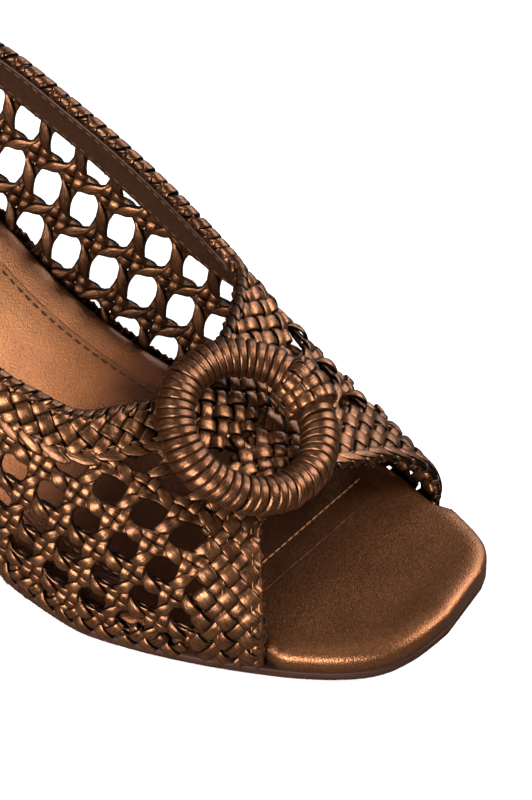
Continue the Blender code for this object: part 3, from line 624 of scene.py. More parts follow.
def moved_in(edge, distance):
    """Edge moved over the wall to its right-hand side by a short distance."""
    along, across = tangents(edge)
    run = np.gradient(edge, axis=0)
    course = along * run[:, :1] + across * run[:, 1:]
    side = unit(np.cross(course, normals(edge))) * distance
    aa, ab, bb = (np.sum(x * y, axis=1) for x, y in ((along, along), (along, across), (across, across)))
    sa, sb = np.sum(side * along, axis=1), np.sum(side * across, axis=1)
    det = aa * bb - ab * ab
    moved = edge + np.stack([(sa * bb - sb * ab) / det, (sb * aa - sa * ab) / det], -1)
    moved[:, 1] = np.clip(moved[:, 1], pattern_q(moved[:, 0], 0.0), pattern_q(moved[:, 0], 4.0))
    return moved


def band_place(rows, depths, middle):
    """Reader of flat-pattern points at (length along, depth across) of a band given as rows at known depths.

    The length runs along the row numbered middle, and is given for each of its points.
    """
    rows = np.array(rows)
    run = run_along(surface(rows[middle]))

    def place(length, depth):
        depth = np.broadcast_to(depth, len(length))
        i = np.clip(np.interp(length, run, np.arange(len(run))), 0, len(run) - 1.001)
        j = np.clip(np.interp(depth, depths, np.arange(len(depths))), 0, len(depths) - 1.001)
        a, b = i.astype(int), j.astype(int)
        f, g = (i - a)[:, None], (j - b)[:, None]
        return ((rows[b, a] * (1 - f) + rows[b, a + 1] * f) * (1 - g)
                + (rows[b + 1, a] * (1 - f) + rows[b + 1, a + 1] * f) * g)

    return place, run


def squarish(wave, power):
    """Wave held nearer its ends, for the round of a flattened section."""
    return np.sign(wave) * np.abs(wave) ** power


ROUND = 12
ring_turn = np.linspace(0, 2 * np.pi, ROUND, endpoint=False) + np.pi / ROUND
ROUND_X = squarish(np.cos(ring_turn), 0.7)
ROUND_Y = squarish(np.sin(ring_turn), 0.75)
dice = np.random.default_rng(7)


def woven(turn):
    """Height of a strip, -1 to 1, arched over one crossing and dived under the next."""
    return np.tanh(1.4 * np.cos(turn)) / np.tanh(1.4)


def new_weave():
    return dict(points=[], faces=[], strip=[], count=0)


def flank_of(line, up):
    """Way across a strip that follows a line."""
    return unit(np.cross(np.gradient(line, axis=0), up))


def lay_strip(weave, centre, side, width, thick=STRIP):
    """Adds one folded strip: rounded section swept along its middle line, closed at both ends."""
    course = unit(np.gradient(centre, axis=0))
    lift = unit(np.cross(side, course))
    flank = unit(np.cross(course, lift))
    half = np.broadcast_to(width, len(centre))[:, None] / 2 * ROUND_X[None, :]
    rise = np.broadcast_to(thick, len(centre))[:, None] / 2 * ROUND_Y[None, :]
    ring = centre[:, None, :] + flank[:, None, :] * half[..., None] + lift[:, None, :] * rise[..., None]
    tone = dice.random()
    note = np.stack(np.broadcast_arrays(run_along(centre)[:, None] + 200 * tone, ROUND_X[None, :], tone), -1)
    first, n = weave["count"], len(centre)
    weave["points"].append(ring.reshape(-1, 3))
    weave["strip"].append(note.reshape(-1, 3))
    weave["faces"] += (ring_faces(ROUND, n)[:, ::-1] + first).tolist()
    weave["faces"].append(range(first, first + ROUND))
    weave["faces"].append(range(first + (n - 1) * ROUND, first + n * ROUND)[::-1])
    weave["count"] += n * ROUND


def woven_piece(name, weave, material, nodes=(), hang=0.0, over=7.0):
    """Piece of all strips of a weave, its foot hung over the sole edge and eased outwards."""
    points = np.concatenate(weave["points"])
    low = np.clip(1 - (points[:, 2] - seat_height(-points[:, 0])) / over, 0, 1.3)
    points[:, 2] -= hang * low
    points[:, 1] += 0.1 * hang * low * np.sign(points[:, 1])
    made = piece(name, points, weave["faces"], material, nodes, turn=False)
    keep_vectors(made.data, "strip", np.concatenate(weave["strip"]))


def on_wall(flat, rise):
    """Points off the wall's outer face and the way up there."""
    up = normals(flat)
    return surface(flat) + up * np.reshape(rise, (-1, 1)), up


def runs_of(keep, least):
    """Start and end of each unbroken run of kept places."""
    marks = np.flatnonzero(np.diff(np.concatenate([[0], keep.astype(int), [0]])))
    return [(a, b) for a, b in zip(marks[::2], marks[1::2]) if b - a >= least]


# Foil leather strip: copper glints on the crown of each strip from the lamps, and painted shade that darkens
# it to near black along its folded edges.
strip_leather, tree, shader = finish_named("bronze_foil_strip_painted_edge_shade")
# Its pleats follow the strip, its dents are about 1.1 mm wide and its grain 0.3 mm.
PLEATS = (0.6, 4.0, 40.0)
DENTS_A_METRE = 900.0
GRAINS_A_METRE = 3200.0
note = add(tree, "ShaderNodeAttribute", attribute_name="strip", attribute_type="GEOMETRY")
parts = add(tree, "ShaderNodeSeparateXYZ", {"Vector": (note, "Vector")})
where = (add(tree, "ShaderNodeTexCoord"), "Object")
stretched = add(tree, "ShaderNodeVectorMath", {0: (note, "Vector"), 1: PLEATS}, operation="MULTIPLY")
pleat = add(tree, "ShaderNodeTexNoise", {"Vector": (stretched, "Vector"), "Scale": 1.0, "Detail": 4.0})
crumple = add(tree, "ShaderNodeTexNoise", {"Vector": where, "Scale": DENTS_A_METRE, "Detail": 2.0})
grain = add(tree, "ShaderNodeTexNoise", {"Vector": where, "Scale": GRAINS_A_METRE, "Detail": 3.0})
# Painted shade: near black towards both edges of each strip, where the folds and gaps lie.
edge = add(tree, "ShaderNodeMath", {0: (parts, "Y")}, operation="ABSOLUTE")
painted_edge_shade = add(tree, "ShaderNodeMapRange", {"Value": (edge, "Value"), "From Min": 0.8, "From Max": 1.0,
                                        "To Min": 0.0, "To Max": -0.5})
pleat_tone_and_edge_shade = add(tree, "ShaderNodeMath", {0: (pleat, "Fac"), 1: (painted_edge_shade, "Result")}, operation="ADD")
varied = add(tree, "ShaderNodeMapRange", {"Value": (parts, "Z"), "To Min": -0.1, "To Max": 0.1})
toned = add(tree, "ShaderNodeMath", {0: (pleat_tone_and_edge_shade, "Value"), 1: (varied, "Result")}, operation="ADD")
colour = add(tree, "ShaderNodeValToRGB", {"Fac": (toned, "Value")},
             ((0.1, "#120905"), (0.35, "#472a18"), (0.7, "#6e472b")))
rubbed = add(tree, "ShaderNodeMapRange", {"Value": (grain, "Fac"), "From Min": 0.3, "From Max": 0.7,
                                          "To Min": 0.28, "To Max": 0.42})
pleats = add(tree, "ShaderNodeBump", {"Height": (pleat, "Fac"), "Strength": 0.22, "Distance": 0.0004})
dents = add(tree, "ShaderNodeBump", {"Height": (crumple, "Fac"), "Strength": 0.16, "Distance": 0.0005,
                                     "Normal": (pleats, "Normal")})
grains = add(tree, "ShaderNodeBump", {"Height": (grain, "Fac"), "Strength": 0.2, "Distance": 0.00012,
                                      "Normal": (dents, "Normal")})
wire(tree, shader, {"Base Color": (colour, "Color"), "Metallic": FOIL, "Roughness": (rubbed, "Result"),
                    "Normal": (grains, "Normal")})

# The same strip, painted darker all over as shade: the whipping round the topline sits in shadow.
shaded_strip_leather = strip_leather.copy()
shaded_strip_leather.name = "bronze_edge_strip_painted_shade"
shaded_strip_stops = shaded_strip_leather.node_tree.nodes[colour.name].color_ramp.elements
for stop, code in zip(shaded_strip_stops, ("#0c0603", "#2e1a0e", "#4c2f1c")):
    stop.color = linear(code)

# Cane panels: pairs of strips cross each other at every knot of the lattice on both side walls.
# Slanting strips run from knot to knot, over one and under the next.
PAIR_AT_NODE = 1.4
PAIR_BETWEEN = 0.78
PAIR_WIDTH_AT_NODE = 2.65
PAIR_WIDTH_BETWEEN = 1.75
SLANT_WIDTH = 3.0
SLANT_WIDTH_BETWEEN = 0.9
SLANT_TUCK = 0.7
SLANT_BEND = 0.055
MIDDLE = -0.75
PAIR_WAVE = 0.6
SLANT_WAVE = 1.15
CANE_STEP = 0.045
CANE_REACH = 17
UNDER_BAND = 2.6
BAND_DIP = 0.9
SOLE_DIP = 0.8
JITTER_STEP = 12
LEAST_RUN = 6
PANEL_FRONT = 40
PANEL_BACK = 191
topline = trace(TOPLINE, 1.0)
collar_line = surface(topline)
COLLAR_ROW = 0.75
COLLAR_DEPTHS = np.arange(0, 19.6, COLLAR_ROW)
collar_rows = [topline]
for _ in COLLAR_DEPTHS[1:]:
    collar_rows.append(moved_in(collar_rows[-1], COLLAR_ROW))
collar_at, collar_run = band_place(collar_rows, COLLAR_DEPTHS, 9)
collar_length = collar_run[-1]
rear_flat = trace(BAND_REAR, 1.0)
rear_line = surface(rear_flat)
rear_order = np.argsort(rear_flat[:, 1])
front = trace(FRONT_EDGE, 1.0)
sole_back = np.linspace(topline[-1, 0], front[0, 0], 60)[1:-1]
sole_front = np.linspace(front[-1, 0], topline[0, 0], 60)[1:-1]
wall_outline = np.concatenate([
    topline, np.stack([sole_back, pattern_q(sole_back, 4.0)], -1),
    front, np.stack([sole_front, pattern_q(sole_front, 0.0)], -1)])


def inside(loop, points):
    """Which points lie in the closed flat loop."""
    x, y = points[:, :1], points[:, 1:]
    a, b = loop, np.roll(loop, -1, axis=0)
    crosses = (a[None, :, 1] > y) != (b[None, :, 1] > y)
    with np.errstate(divide="ignore", invalid="ignore"):
        at = a[:, 0] + (y - a[:, 1]) * (b[:, 0] - a[:, 0]) / (b[:, 1] - a[:, 1])
    return (crosses & (x < at)).sum(axis=1) % 2 == 1


def apart(points, line):
    """Distance of each point from each point of a line."""
    return np.linalg.norm(points[:, None, :] - line[None, :, :], axis=2)


def cane_strip(weave, side, cell, wave, width):
    """Lays the kept runs of one strip given by its places in lattice steps."""
    cane = CANE[side]
    at = np.array(cane["node"]) + cell[:, :1] * np.array(cane["along"]) + cell[:, 1:] * np.array(cane["up"])
    s, h = at[:, 0], at[:, 1] - seat_height(at[:, 0])
    q = pattern_q(s, SOLE_EDGE[side]) - side * h
    flat = np.stack([s, q], -1)
    near = (s > PANEL_FRONT) & (s < PANEL_BACK) & (h > 0.2) & (side * q > -1.0)
    if near.sum() < LEAST_RUN:
        return
    points = surface(flat)
    from_collar = apart(points, collar_line)
    beside = collar_run[from_collar.argmin(axis=1)]
    band = np.where((beside > THROAT[0]) & (beside < THROAT[1]), THROAT_BAND, COLLAR_BAND)
    collar = np.where(inside(wall_outline, flat), from_collar.min(axis=1), -1.0) - band
    behind = np.where(s > np.interp(q, rear_flat[rear_order, 1], rear_flat[rear_order, 0]), 1.0, -1.0)
    room = np.minimum(collar, behind * apart(points, rear_line).min(axis=1))
    keep = near & (room > -UNDER_BAND)
    dip = -BAND_DIP * np.clip((0.8 - room) / 2.4, 0, 1) ** 2
    dip = dip - SOLE_DIP * np.clip(1 - h / 2.0, 0, 1) ** 2
    knots = np.arange(0, len(s) + JITTER_STEP, JITTER_STEP)
    jitter = np.interp(np.arange(len(s)), knots, dice.normal(0, 0.07, len(knots)))
    for a, b in runs_of(keep, LEAST_RUN):
        centre, up = on_wall(flat[a:b], (MIDDLE + wave + dip + jitter)[a:b])
        lay_strip(weave, centre, flank_of(points[a:b], up), width[a:b] * (1 + dice.normal(0, 0.04)))


line = np.arange(-CANE_REACH, CANE_REACH, CANE_STEP)
near_node = 0.5 + 0.5 * np.cos(2 * np.pi * line)
pair_width = PAIR_WIDTH_BETWEEN + (PAIR_WIDTH_AT_NODE - PAIR_WIDTH_BETWEEN) * near_node
pair_gap = PAIR_BETWEEN + (PAIR_AT_NODE - PAIR_BETWEEN) * near_node
off_node = line - np.round(line)
swing = SLANT_BEND * np.sin(2 * np.pi * line)
over = np.cos(2 * np.pi * line)
slant_width = SLANT_WIDTH_BETWEEN + (SLANT_WIDTH - SLANT_WIDTH_BETWEEN) * np.abs(over) ** 1.3
for side, name in ((-1, "cane_panel_outer"), (1, "cane_panel_inner")):
    weave = new_weave()
    step_along = np.hypot(*CANE[side]["along"])
    step_up = np.hypot(*CANE[side]["up"])
    for k in range(-CANE_REACH, CANE_REACH):
        for hand in (1, -1):
            for own, other, way in ((step_along, step_up, 1), (step_up, step_along, -1)):
                turn_in = np.clip(off_node * own / (2 * PAIR_AT_NODE), -1, 1)
                wave = -way * hand * PAIR_WAVE * woven(np.pi * turn_in - np.pi / 2)
                cell = np.stack([line, k + hand * pair_gap / other][::way], -1)
                cane_strip(weave, side, cell, wave, pair_width)
    for k in range(-2 * CANE_REACH, 2 * CANE_REACH):
        for hand in (1, -1):
            cell = np.stack([k + 0.5 + hand * (line + swing), line - swing], -1)
            wave = -hand * SLANT_WAVE * over - SLANT_TUCK * (1 - np.abs(over))
            cane_strip(weave, side, cell, wave, slant_width)
    woven_piece(name, weave, strip_leather, ("upper",) if side < 0 else ())

# Collar band: two families of strips plaited along the topline and turned under at both edges.
# Leaves of strip lap its lower edge, and a strip darkened with painted shade is whipped over the top.
COLLAR_PITCH = 5.3
TURN_UNDER = 2.6
PLAIT_STEP = 0.32
SHEAR_REACH = 15


def plait(weave, place, length, span, pitch, fills, first, wave, middle,
          curl=1.0, skew=0.0, steep=1.0, deeper=None):
    """Two families of strips crossing a band, turned under past both edges of its span.

    They are sheared by skew the opposite way in the two halves of the band; deeper is a stretch
    of the band, from and to along it, where they reach another depth.
    """
    low, high = span
    across = pitch / steep
    for k in range(-5, int(length / pitch) + 6):
        for hand, fill in zip((1, -1), fills):
            start = k * pitch + (0 if hand > 0 else pitch / 2) - hand * steep * (first + across / 4)
            end = high
            if deeper and deeper[0] < start + hand * steep * high < deeper[1]:
                end = deeper[2]
            depth = np.arange(low - TURN_UNDER * curl, end + TURN_UNDER * curl, PLAIT_STEP)
            flat_depth = np.clip(depth, low, end)
            beyond = (depth - flat_depth) / curl
            reach = flat_depth + curl * np.sin(beyond)
            at = start + hand * steep * reach
            sheared = skew * np.clip((at - length / 2) / SHEAR_REACH, -1, 1)
            at = at + sheared * (reach - (low + high) / 2) + dice.normal(0, 0.08)
            strip = fill * pitch / np.hypot(1, hand * steep + sheared)
            rise = middle + hand * wave * woven(2 * np.pi * (flat_depth - first) / across)
            rise = rise - curl * (1 - np.cos(beyond))
            level_part = np.flatnonzero(np.abs(beyond) < 1e-6)
            hold = np.clip(np.arange(len(depth)), level_part[0], level_part[-1])
            keep = (at > 0.3) & (at < length - 0.3)
            for a, b in runs_of(keep, 5):
                flat = place(at[a:b], reach[a:b])
                centre, up = on_wall(flat, rise[a:b] + dice.normal(0, 0.04))
                side = flank_of(surface(flat), up)[np.clip(hold[a:b] - a, 0, b - a - 1)]
                lay_strip(weave, centre, side, strip[a:b] * (1 + dice.normal(0, 0.03)))


def whip_edge(weave, place, length, pitch, advance, depth, rise, radius, strip):
    """Strips wrapped slantwise over an edge, each lapping the next, from the outer face to the inner."""
    angle = np.radians(np.linspace(-75, 225, 26))
    lean = advance * (np.degrees(angle) - 75) / 300
    taper = np.clip(np.sin(np.linspace(0.1, 2.2, len(angle))), 0.05, 1) ** 0.6
    for at in np.arange(advance, length - advance, pitch):
        along = at + lean + dice.normal(0, 0.12)
        base, up = on_wall(place(along, depth), 0.0)
        out = unit(surface(place(along, depth - 0.5)) - base)
        lift = up * np.cos(angle)[:, None] + out * np.sin(angle)[:, None]
        centre = base + up * rise + lift * radius * (1 + dice.normal(0, 0.04))
        lay_strip(weave, centre, flank_of(centre, lift), strip * taper, 1.1)


def leaf_row(weave, place, length, pitch, reach, depth, slope, rise, strip, lap, skip):
    """Long leaves lying along an edge like shingles, each point lapping over the next one's root."""
    t = np.linspace(-1, 1, 18)
    width = strip * np.clip(1 - np.abs(t) ** 3, 0.06, 1) ** 0.7
    for at in np.arange(reach, length - reach, pitch):
        if skip[0] < at < skip[1]:
            continue
        along = at + t * reach / 2 + dice.normal(0, 0.12)
        flat = place(along, depth + slope * t)
        centre, up = on_wall(flat, rise + lap * (0.8 * t + 0.45 * (1 - t * t) - 0.4 * np.abs(t) ** 5))
        lay_strip(weave, centre, flank_of(surface(flat), up), width, 1.05)


weave = new_weave()
plait(weave, collar_at, collar_length, span=(1.7, 10.2), pitch=COLLAR_PITCH, fills=(0.9, 0.74), first=5.6,
      wave=0.6, middle=-0.6, deeper=(*THROAT, THROAT_REACH))
for depth, slope, skip in ((10.8, 1.3, (THROAT[0], collar_length)), (8.3, 0.7, (0.0, THROAT[1]))):
    leaf_row(weave, collar_at, collar_length, COLLAR_PITCH, reach=7.4, depth=depth, slope=slope, rise=-0.45,
             strip=2.5, lap=0.8, skip=skip)
woven_piece("collar_plait", weave, strip_leather)
weave = new_weave()
whip_edge(weave, collar_at, collar_length, pitch=3.6, advance=6.2, depth=1.4, rise=-0.9, radius=1.05,
          strip=2.7)
woven_piece("collar_whipping", weave, shaded_strip_leather)

# Front band: the same plait over the toes, from one sole edge to the other, sheared apart in its two halves.
# A thin strip closes its front edge, and leaves lap the edge on the inner side.
FRONT_PITCH = 5.6
FRONT_WIDTH = 15.6
FRONT_LEAVES = 50.0
around = np.linspace(4, 0, 181)
front_s = fair(FRONT_EDGE[::-1][:, ::-1], 1)(around)
rear_s = fair(BAND_REAR[::-1][:, ::-1], 1)(around)
FRONT_DEPTHS = np.linspace(0, FRONT_WIDTH, 14)
front_rows = []
for depth in FRONT_DEPTHS:
    s = front_s + (rear_s - front_s) * depth / FRONT_WIDTH
    front_rows.append(np.stack([s, pattern_q(s, around)], -1))
front_at, front_run = band_place(front_rows, FRONT_DEPTHS, 7)
front_length = front_run[-1]
weave = new_weave()
plait(weave, front_at, front_length, span=(1.8, 14.6), pitch=FRONT_PITCH, fills=(0.87, 0.84), first=6.0,
      wave=0.6, middle=-0.6, curl=0.9, skew=0.52, steep=1.06)
at = np.arange(1.0, front_length - 1.0, 0.6)
centre, up = on_wall(front_at(at, 0.7), -1.1)
lay_strip(weave, centre, flank_of(centre, up), 1.2, 1.4)
leaf_row(weave, front_at, front_length, FRONT_PITCH, reach=9.0, depth=1.5, slope=0.8, rise=-0.2, strip=2.4,
         lap=0.4, skip=(FRONT_LEAVES, front_length))
woven_piece("front_plait", weave, strip_leather, hang=2.2, over=12.0)

# Base plaits: the strip ends turned and locked in a low braid where each wall meets the sole.
# The braid of the inner wall is lower and finer.
BASE_DEPTHS = np.linspace(0, 6.6, 9)
BASE_BACK = 189.0
BASES = ((-1, "base_plait_outer", 48.0, 4.6, 5.2), (1, "base_plait_inner", 39.0, 2.4, 3.8))
for side, name, start, top, pitch in BASES:
    base_s = np.arange(start, BASE_BACK, 1.0)
    sole_q = pattern_q(base_s, SOLE_EDGE[side])
    base_rows = [np.stack([base_s, sole_q - side * depth], -1) for depth in BASE_DEPTHS]
    base_at, base_run = band_place(base_rows, BASE_DEPTHS, 4)
    weave = new_weave()
    plait(weave, base_at, base_run[-1], span=(0.4, top), pitch=pitch, fills=(0.77, 0.72), first=1.3,
          wave=0.5, middle=-0.2, curl=0.6)
    woven_piece(name, weave, strip_leather, hang=2.0, over=1000.0)

# Band seams: two rows of fine stitches along each of the collar and front bands.
# They are sewn through the plait and show as small tan dashes.
runs = []
for place, length, depths in ((collar_at, collar_length, (2.3, 9.0)), (front_at, front_length, (2.7, 9.9))):
    at = np.arange(2.0, length - 2.0, 0.8)
    runs += [on_wall(place(at, depth), 0.05) for depth in depths]
sew("band_stitching", runs, tan_row, (0.0024, 0.002, 0.00026))

# Collar binding: smooth dark leather tape sewn inside the collar over the ends of the strips.
# Its two long edges are rounded, and a row of stitches holds each.
WALL = 2.0
TAPE_TOP = 0.9
TAPE_WIDTH = 10.7
TAPE = 1.0
TAPE_GAP = 0.45
TAPE_TRIM = 20.0
TAPE_SEAM = 1.3

# Smooth calf tape, dyed dark brown: a dull sheen over fine pores, drawn coarser than life at 0.6 mm.
PORES_A_METRE = 1800.0
binding_leather, tree, shader = finish_named("dark_brown_calf_tape")
where = add(tree, "ShaderNodeTexCoord")
pores = add(tree, "ShaderNodeTexNoise", {"Vector": (where, "Object"), "Scale": PORES_A_METRE, "Detail": 4.0})
tone = add(tree, "ShaderNodeValToRGB", {"Fac": (pores, "Fac")}, ((0.3, "#1e1008"), (0.7, "#321c10")))
skin = add(tree, "ShaderNodeBump", {"Height": (pores, "Fac"), "Strength": 0.25, "Distance": 0.0001})
wire(tree, shader, {"Base Color": (tone, "Color"), "Normal": (skin, "Normal"), "Roughness": 0.45,
                    "Metallic": 0.25, "Specular IOR Level": 0.2})
tape_l = np.arange(TAPE_TRIM, collar_length - TAPE_TRIM, 1.0)
loops = []
for angle in np.linspace(0, 2 * np.pi, 20, endpoint=False):
    depth = TAPE_TOP + TAPE_WIDTH * (0.5 + 0.5 * squarish(np.cos(angle), 0.35))
    rise = -(WALL + TAPE_GAP + TAPE * (0.5 + 0.5 * squarish(np.sin(angle), 0.55)))
    loops.append(on_wall(collar_at(tape_l, depth), rise)[0])
points = np.stack(loops, 1).reshape(-1, 3)
faces = ring_faces(len(loops), len(tape_l)).tolist()
faces += [range(len(loops)), range(len(points) - len(loops), len(points))]
piece("collar_tape", points, faces, binding_leather, ("collar_binding",))
runs = []
for depth in (TAPE_TOP + TAPE_SEAM, TAPE_TOP + TAPE_WIDTH - TAPE_SEAM):
    points, up = on_wall(collar_at(tape_l, depth), -(WALL + TAPE_GAP + TAPE + 0.05))
    runs.append((points, -up))
sew("tape_stitching", runs, brown_row, (0.0026, 0.002, 0.00036))

# Ring: stiff round core wrapped edge to edge with one foil leather strip, lying on the vamp.
# Each turn of the strip bulges between two grooves, which the strip's painted edge shade darkens a little,
# and leans a little along the ring.
RING_RADIUS = 17.0
RING_TUBE = 4.5
RING_S = 53.2
RING_Y = -5.6
RING_PLACE = 1.94
RING_TILT = math.radians(26)
RING_ROLL = math.radians(5)
RING_CLEAR = 1.1
WRAPS = 50
WRAP_GROOVE = 0.55
WRAP_LEAN = math.radians(3.5)
WRAP_PLAY = 0.008
WRAP_SWELL = (0.985, 1.012)
ring_seat = section_point(RING_S, RING_PLACE)
ahead = np.array([math.cos(RING_TILT), 0, -math.sin(RING_TILT)])
level_up = np.array([math.sin(RING_TILT), 0, math.cos(RING_TILT)])
aside = np.array([0.0, math.cos(RING_ROLL), 0.0]) + level_up * math.sin(RING_ROLL)
ring_up = level_up * math.cos(RING_ROLL) - np.array([0.0, math.sin(RING_ROLL), 0.0])
ring_centre = np.array([-RING_S, RING_Y, ring_seat[2]]) + ring_up * (RING_TUBE + RING_CLEAR)

WRAP_ROUND = 28
WRAP_ACROSS = 8
wrap_points = []
roll = np.linspace(0, 2 * np.pi, WRAP_ROUND, endpoint=False)
for j in range(WRAP_ACROSS + 1):
    x = 2 * j / WRAP_ACROSS - 1
    turn = x * 0.5 * 2 * np.pi / WRAPS + WRAP_LEAN * np.sin(roll)
    radius = RING_TUBE - WRAP_GROOVE * abs(x) ** 7
    out = RING_RADIUS + radius * np.cos(roll)
    wrap_points.append(np.stack([out * np.cos(turn), out * np.sin(turn), radius * np.sin(roll)], -1))
wrap = bpy.data.meshes.new("wrap")
wrap_faces = ring_faces(WRAP_ROUND, WRAP_ACROSS + 1).tolist()
wrap.from_pydata((np.concatenate(wrap_points) * 0.001).tolist(), [], wrap_faces)
run_round = np.tile(np.stack([roll * RING_TUBE, 0 * roll, 0 * roll], -1), (WRAP_ACROSS + 1, 1))
# Place across each turn, out to 0.85 of the half-width, where the strip's painted edge shade begins.
run_round[:, 1] = np.repeat(np.linspace(-0.85, 0.85, WRAP_ACROSS + 1), WRAP_ROUND)
keep_vectors(wrap, "strip", run_round)

wrap_tree, start, wrap_sockets = growth_tree("ring_wraps", Turns="NodeSocketInt", Play="NodeSocketFloat")
spots = add(wrap_tree, "GeometryNodePoints", {"Count": (start, "Turns")})
number = add(wrap_tree, "GeometryNodeInputIndex")
pitch_turn = add(wrap_tree, "ShaderNodeMath", {0: 2 * math.pi, 1: (start, "Turns")}, operation="DIVIDE")
spin = add(wrap_tree, "ShaderNodeMath", {0: (number, "Index"), 1: (pitch_turn, "Value")},
           operation="MULTIPLY")
less = add(wrap_tree, "ShaderNodeMath", {0: (start, "Play"), 1: -1.0}, operation="MULTIPLY")
stray = add(wrap_tree, "FunctionNodeRandomValue", {2: (less, "Value"), 3: (start, "Play"), "Seed": 3},
            data_type="FLOAT")
spun = add(wrap_tree, "ShaderNodeMath", {0: (spin, "Value"), 1: (stray, 1)}, operation="ADD")
angles = add(wrap_tree, "ShaderNodeCombineXYZ", {"Z": (spun, "Value")})
turned = add(wrap_tree, "FunctionNodeEulerToRotation", {"Euler": (angles, "Vector")})
swell = add(wrap_tree, "FunctionNodeRandomValue", {2: WRAP_SWELL[0], 3: WRAP_SWELL[1], "Seed": 5},
            data_type="FLOAT")
lay_copies(wrap_tree, strip_leather, {"Points": (spots, "Points"), "Instance": (start, "Seed"),
                                      "Rotation": (turned, "Rotation"), "Scale": (swell, 1)})
ring_frame = np.eye(4)
ring_frame[:3] = np.column_stack([ahead, aside, ring_up, in_metres(ring_centre)])
ring = grown("ring_wrapping", wrap, wrap_tree, zip(wrap_sockets, (WRAPS, WRAP_PLAY)),
             Matrix(ring_frame.tolist()))
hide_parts("ring")

# Ring keeper: loop plaited from the same strips and sewn to the vamp.
# It is drawn over the inner side of the ring, with long strips over the ring and rungs across them.
KEEPER_AT = math.radians(75)
KEEPER_SPREAD = math.radians(34)
KEEPER_FROM = math.radians(-28)
KEEPER_TO = math.radians(208)
KEEPER_CLEAR = 0.45
KEEPER_STRIP = 3.0
KEEPER_PITCH = 3.5
KEEPER_WAVE = 0.5
KEEPER_THICK = 1.0
KEEPER_STEP = 0.35
KEEPER_MID = RING_TUBE + 1.3


def ring_point(turn, roll, radius):
    """Points round the ring: turn from the toe towards the inner side, roll from outwards to up."""
    outward = ahead * np.cos(turn)[:, None] + aside * np.sin(turn)[:, None]
    lift = outward * np.cos(roll)[:, None] + ring_up * np.sin(roll)[:, None]
    return ring_centre + outward * RING_RADIUS + lift * np.reshape(radius, (-1, 1)), lift


weave = new_weave()
keeper_width = RING_RADIUS * KEEPER_SPREAD * 1.15
keeper_length = KEEPER_MID * (KEEPER_TO - KEEPER_FROM)
ends = np.arange(KEEPER_PITCH / 2, keeper_width, KEEPER_PITCH)
rungs = np.arange(KEEPER_PITCH / 2, keeper_length, KEEPER_PITCH)


def keeper_strip(across, along, wave):
    """Lays one strip of the keeper by its places across and along the loop."""
    turn = KEEPER_AT + KEEPER_SPREAD * (across / keeper_width - 0.5)
    turn, roll = np.broadcast_arrays(turn, KEEPER_FROM + along / KEEPER_MID)
    centre, up = ring_point(turn, roll, RING_TUBE + KEEPER_CLEAR + KEEPER_THICK / 2 + wave)
    lay_strip(weave, centre, flank_of(centre, up), KEEPER_STRIP, KEEPER_THICK)


for k, across in enumerate(ends):
    along = np.arange(0, keeper_length + 0.2, KEEPER_STEP)
    keeper_strip(across, along, KEEPER_WAVE * woven(np.pi * (along / KEEPER_PITCH - 0.5 + k)))
for k, along in enumerate(rungs):
    across = np.arange(-0.6, keeper_width + 0.8, KEEPER_STEP)
    tuck = 1.2 * np.clip(np.abs(across - keeper_width / 2) - keeper_width / 2 + 0.9, 0, 2) ** 2
    keeper_strip(across, along, -KEEPER_WAVE * woven(np.pi * (across / KEEPER_PITCH - 0.5 + k)) - tuck)
woven_piece("keeper_plait", weave, strip_leather, ("ring_keeper",))

# Heel: plain block covered with foil leather, from the seat down to the wearing piece.
# Its sides draw in towards the tip, most of all near the seat.
HEEL_FRONT = 160.0
HEEL_INSET = 0.8
TIP = 5.0
TIP_FRONT = 174.0
TIP_BACK = 209.0
TIP_LATERAL = -20.0
TIP_MEDIAL = 14.5
heel_leather = metallic_leather("bronze_foil_heel_cover", "#543018", "#774a27", 0.4)
heel_back = LENGTH - HEEL_INSET - np.linspace(1, 0, 28) ** 2 * 10
heel_s = np.concatenate([np.linspace(HEEL_FRONT, 204, 45), heel_back])
count = len(heel_s)
seat_ring = plan_ring(heel_s, np.full(count, HEEL_INSET), np.full(count, HEEL_INSET))
share = np.concatenate([(heel_s - HEEL_FRONT), (heel_s - HEEL_FRONT)[::-1]]) / (LENGTH - HEEL_FRONT)
outer_half = np.arange(2 * count) < count
foot_s = TIP_FRONT + (TIP_BACK - TIP_FRONT) * np.clip(share * 1.05, 0, 1)
bulge = np.sqrt(np.clip(1 - np.clip((foot_s - (TIP_BACK - 16)) / 16.5, 0, 1) ** 2, 0, 1))
middle = (TIP_LATERAL + TIP_MEDIAL) / 2
foot_y = np.where(outer_half, middle + (TIP_LATERAL - middle) * bulge, middle + (TIP_MEDIAL - middle) * bulge)
foot = np.stack([-foot_s, foot_y], -1)
rings = []
for t in np.linspace(0, 1, 24):
    ease = 1 - (1 - t) ** 1.8
    top = underside(-seat_ring[:, 0]) - GAP
    rings.append(np.column_stack([seat_ring * (1 - ease) + foot * ease, top * (1 - t) + (TIP + GAP) * t]))
piece("heel_cover", np.concatenate(rings), stack_faces(rings), heel_leather, ("heel",))

# Heel tip: moulded rubber wearing piece nailed under the heel block.
# Its corners are eased and its sides follow the foot of the heel.

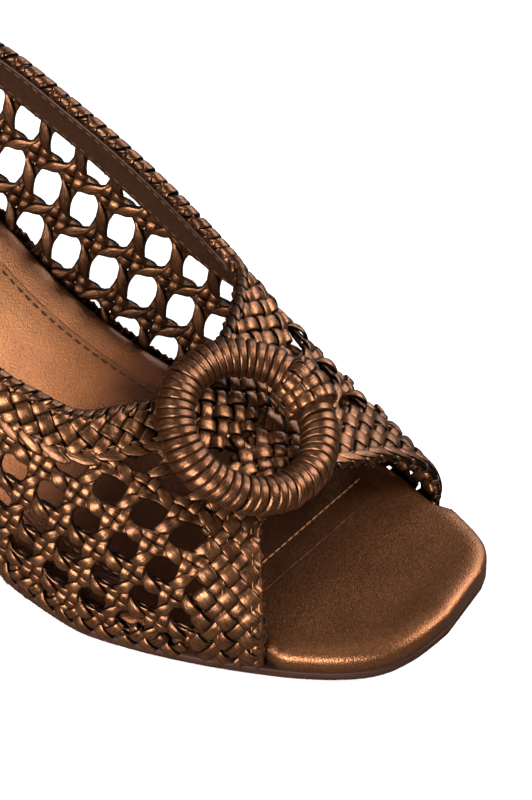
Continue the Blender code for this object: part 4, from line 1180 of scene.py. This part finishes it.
# Moulded black rubber: matt, with a grit about 0.7 mm wide that catches dust.
GRITS_A_METRE = 1500.0
tip_rubber, tree, shader = finish_named("moulded_black_rubber")
where = add(tree, "ShaderNodeTexCoord")
grit = add(tree, "ShaderNodeTexNoise", {"Vector": (where, "Object"), "Scale": GRITS_A_METRE, "Detail": 3.0})
dust = add(tree, "ShaderNodeValToRGB", {"Fac": (grit, "Fac")}, ((0.35, "#151312"), (0.75, "#26221f")))
rough = add(tree, "ShaderNodeBump", {"Height": (grit, "Fac"), "Strength": 0.3, "Distance": 0.0001})
wire(tree, shader, {"Base Color": (dust, "Color"), "Normal": (rough, "Normal"), "Roughness": 0.7})
centre = foot.mean(axis=0)
rings = []
for size, height in ((0.985, 0.0), (0.995, 0.25), (1.0, 0.6), (1.0, TIP - 0.4), (0.99, TIP)):
    rings.append(np.column_stack([centre + (foot - centre) * size, np.full(2 * count, height)]))
piece("heel_tip_rubber", np.concatenate(rings), stack_faces(rings), tip_rubber, ("heel_tip",))

# Studio: a white paper floor under four soft boxes.
# The camera looks down on the shoe from the outer front quarter.
FLOOR = 3.0
corners = [(-FLOOR, -FLOOR, 0), (FLOOR, -FLOOR, 0), (FLOOR, FLOOR, 0), (-FLOOR, FLOOR, 0)]
floor_mesh = bpy.data.meshes.new("studio_floor")
floor_mesh.from_pydata(corners, [], [(0, 1, 2, 3)])
floor = bpy.data.objects.new("studio_floor", floor_mesh)
bpy.context.scene.collection.objects.link(floor)
# Matt white paper: bright, with no shine of its own.
white_paper, tree, shader = finish_named("white_paper")
wire(tree, shader, {"Base Color": linear("#f6f6f6"), "Roughness": 0.9, "Specular IOR Level": 0.0})
floor_mesh.materials.append(white_paper)
floor.visible_glossy = False

world = bpy.data.worlds.new("studio")
world.use_nodes = True
wire(world.node_tree, world.node_tree.nodes["Background"], {"Color": (1, 1, 1, 1), "Strength": 0.125})
bpy.context.scene.world = world
bpy.context.scene.view_settings.view_transform = "Standard"

target = Vector((0.0482, 0.018027, 0.030))
# Soft boxes: name, way from the shoe, distance, size and power.
SOFT_BOXES = (
    ("key_box", (0.60, 0.46, 0.62), 1.0, 0.6, 21.5),
    ("side_box", (0.04, -0.94, 0.30), 1.0, 0.5, 29.0),
    ("top_box", (-0.50, -0.05, 0.85), 1.1, 0.5, 3.0),
    ("rim_box", (0.10, 0.92, 0.38), 1.0, 0.6, 7.0),
)
for name, way, distance, size, watts in SOFT_BOXES:
    box = bpy.data.lights.new(name, "AREA")
    box.shape = "SQUARE"
    box.size = size
    box.energy = watts
    lamp = bpy.data.objects.new(name, box)
    bpy.context.scene.collection.objects.link(lamp)
    lamp.location = target + Vector(way).normalized() * distance
    lamp.rotation_euler = Vector(way).to_track_quat("Z", "Y").to_euler()

AZIMUTH = math.radians(30)
ELEVATION = math.radians(45)
DISTANCE = 1.2
lens = bpy.data.cameras.new("photo_camera")
lens.sensor_width = 36.0
lens.lens = 237.6
lens.clip_start = 0.05
camera = bpy.data.objects.new("photo_camera", lens)
bpy.context.scene.collection.objects.link(camera)
back = Vector((math.sin(AZIMUTH) * math.cos(ELEVATION), -math.cos(AZIMUTH) * math.cos(ELEVATION),
               math.sin(ELEVATION)))
camera.location = target + back * DISTANCE
camera.rotation_euler = back.to_track_quat("Z", "Y").to_euler()
bpy.context.scene.camera = camera
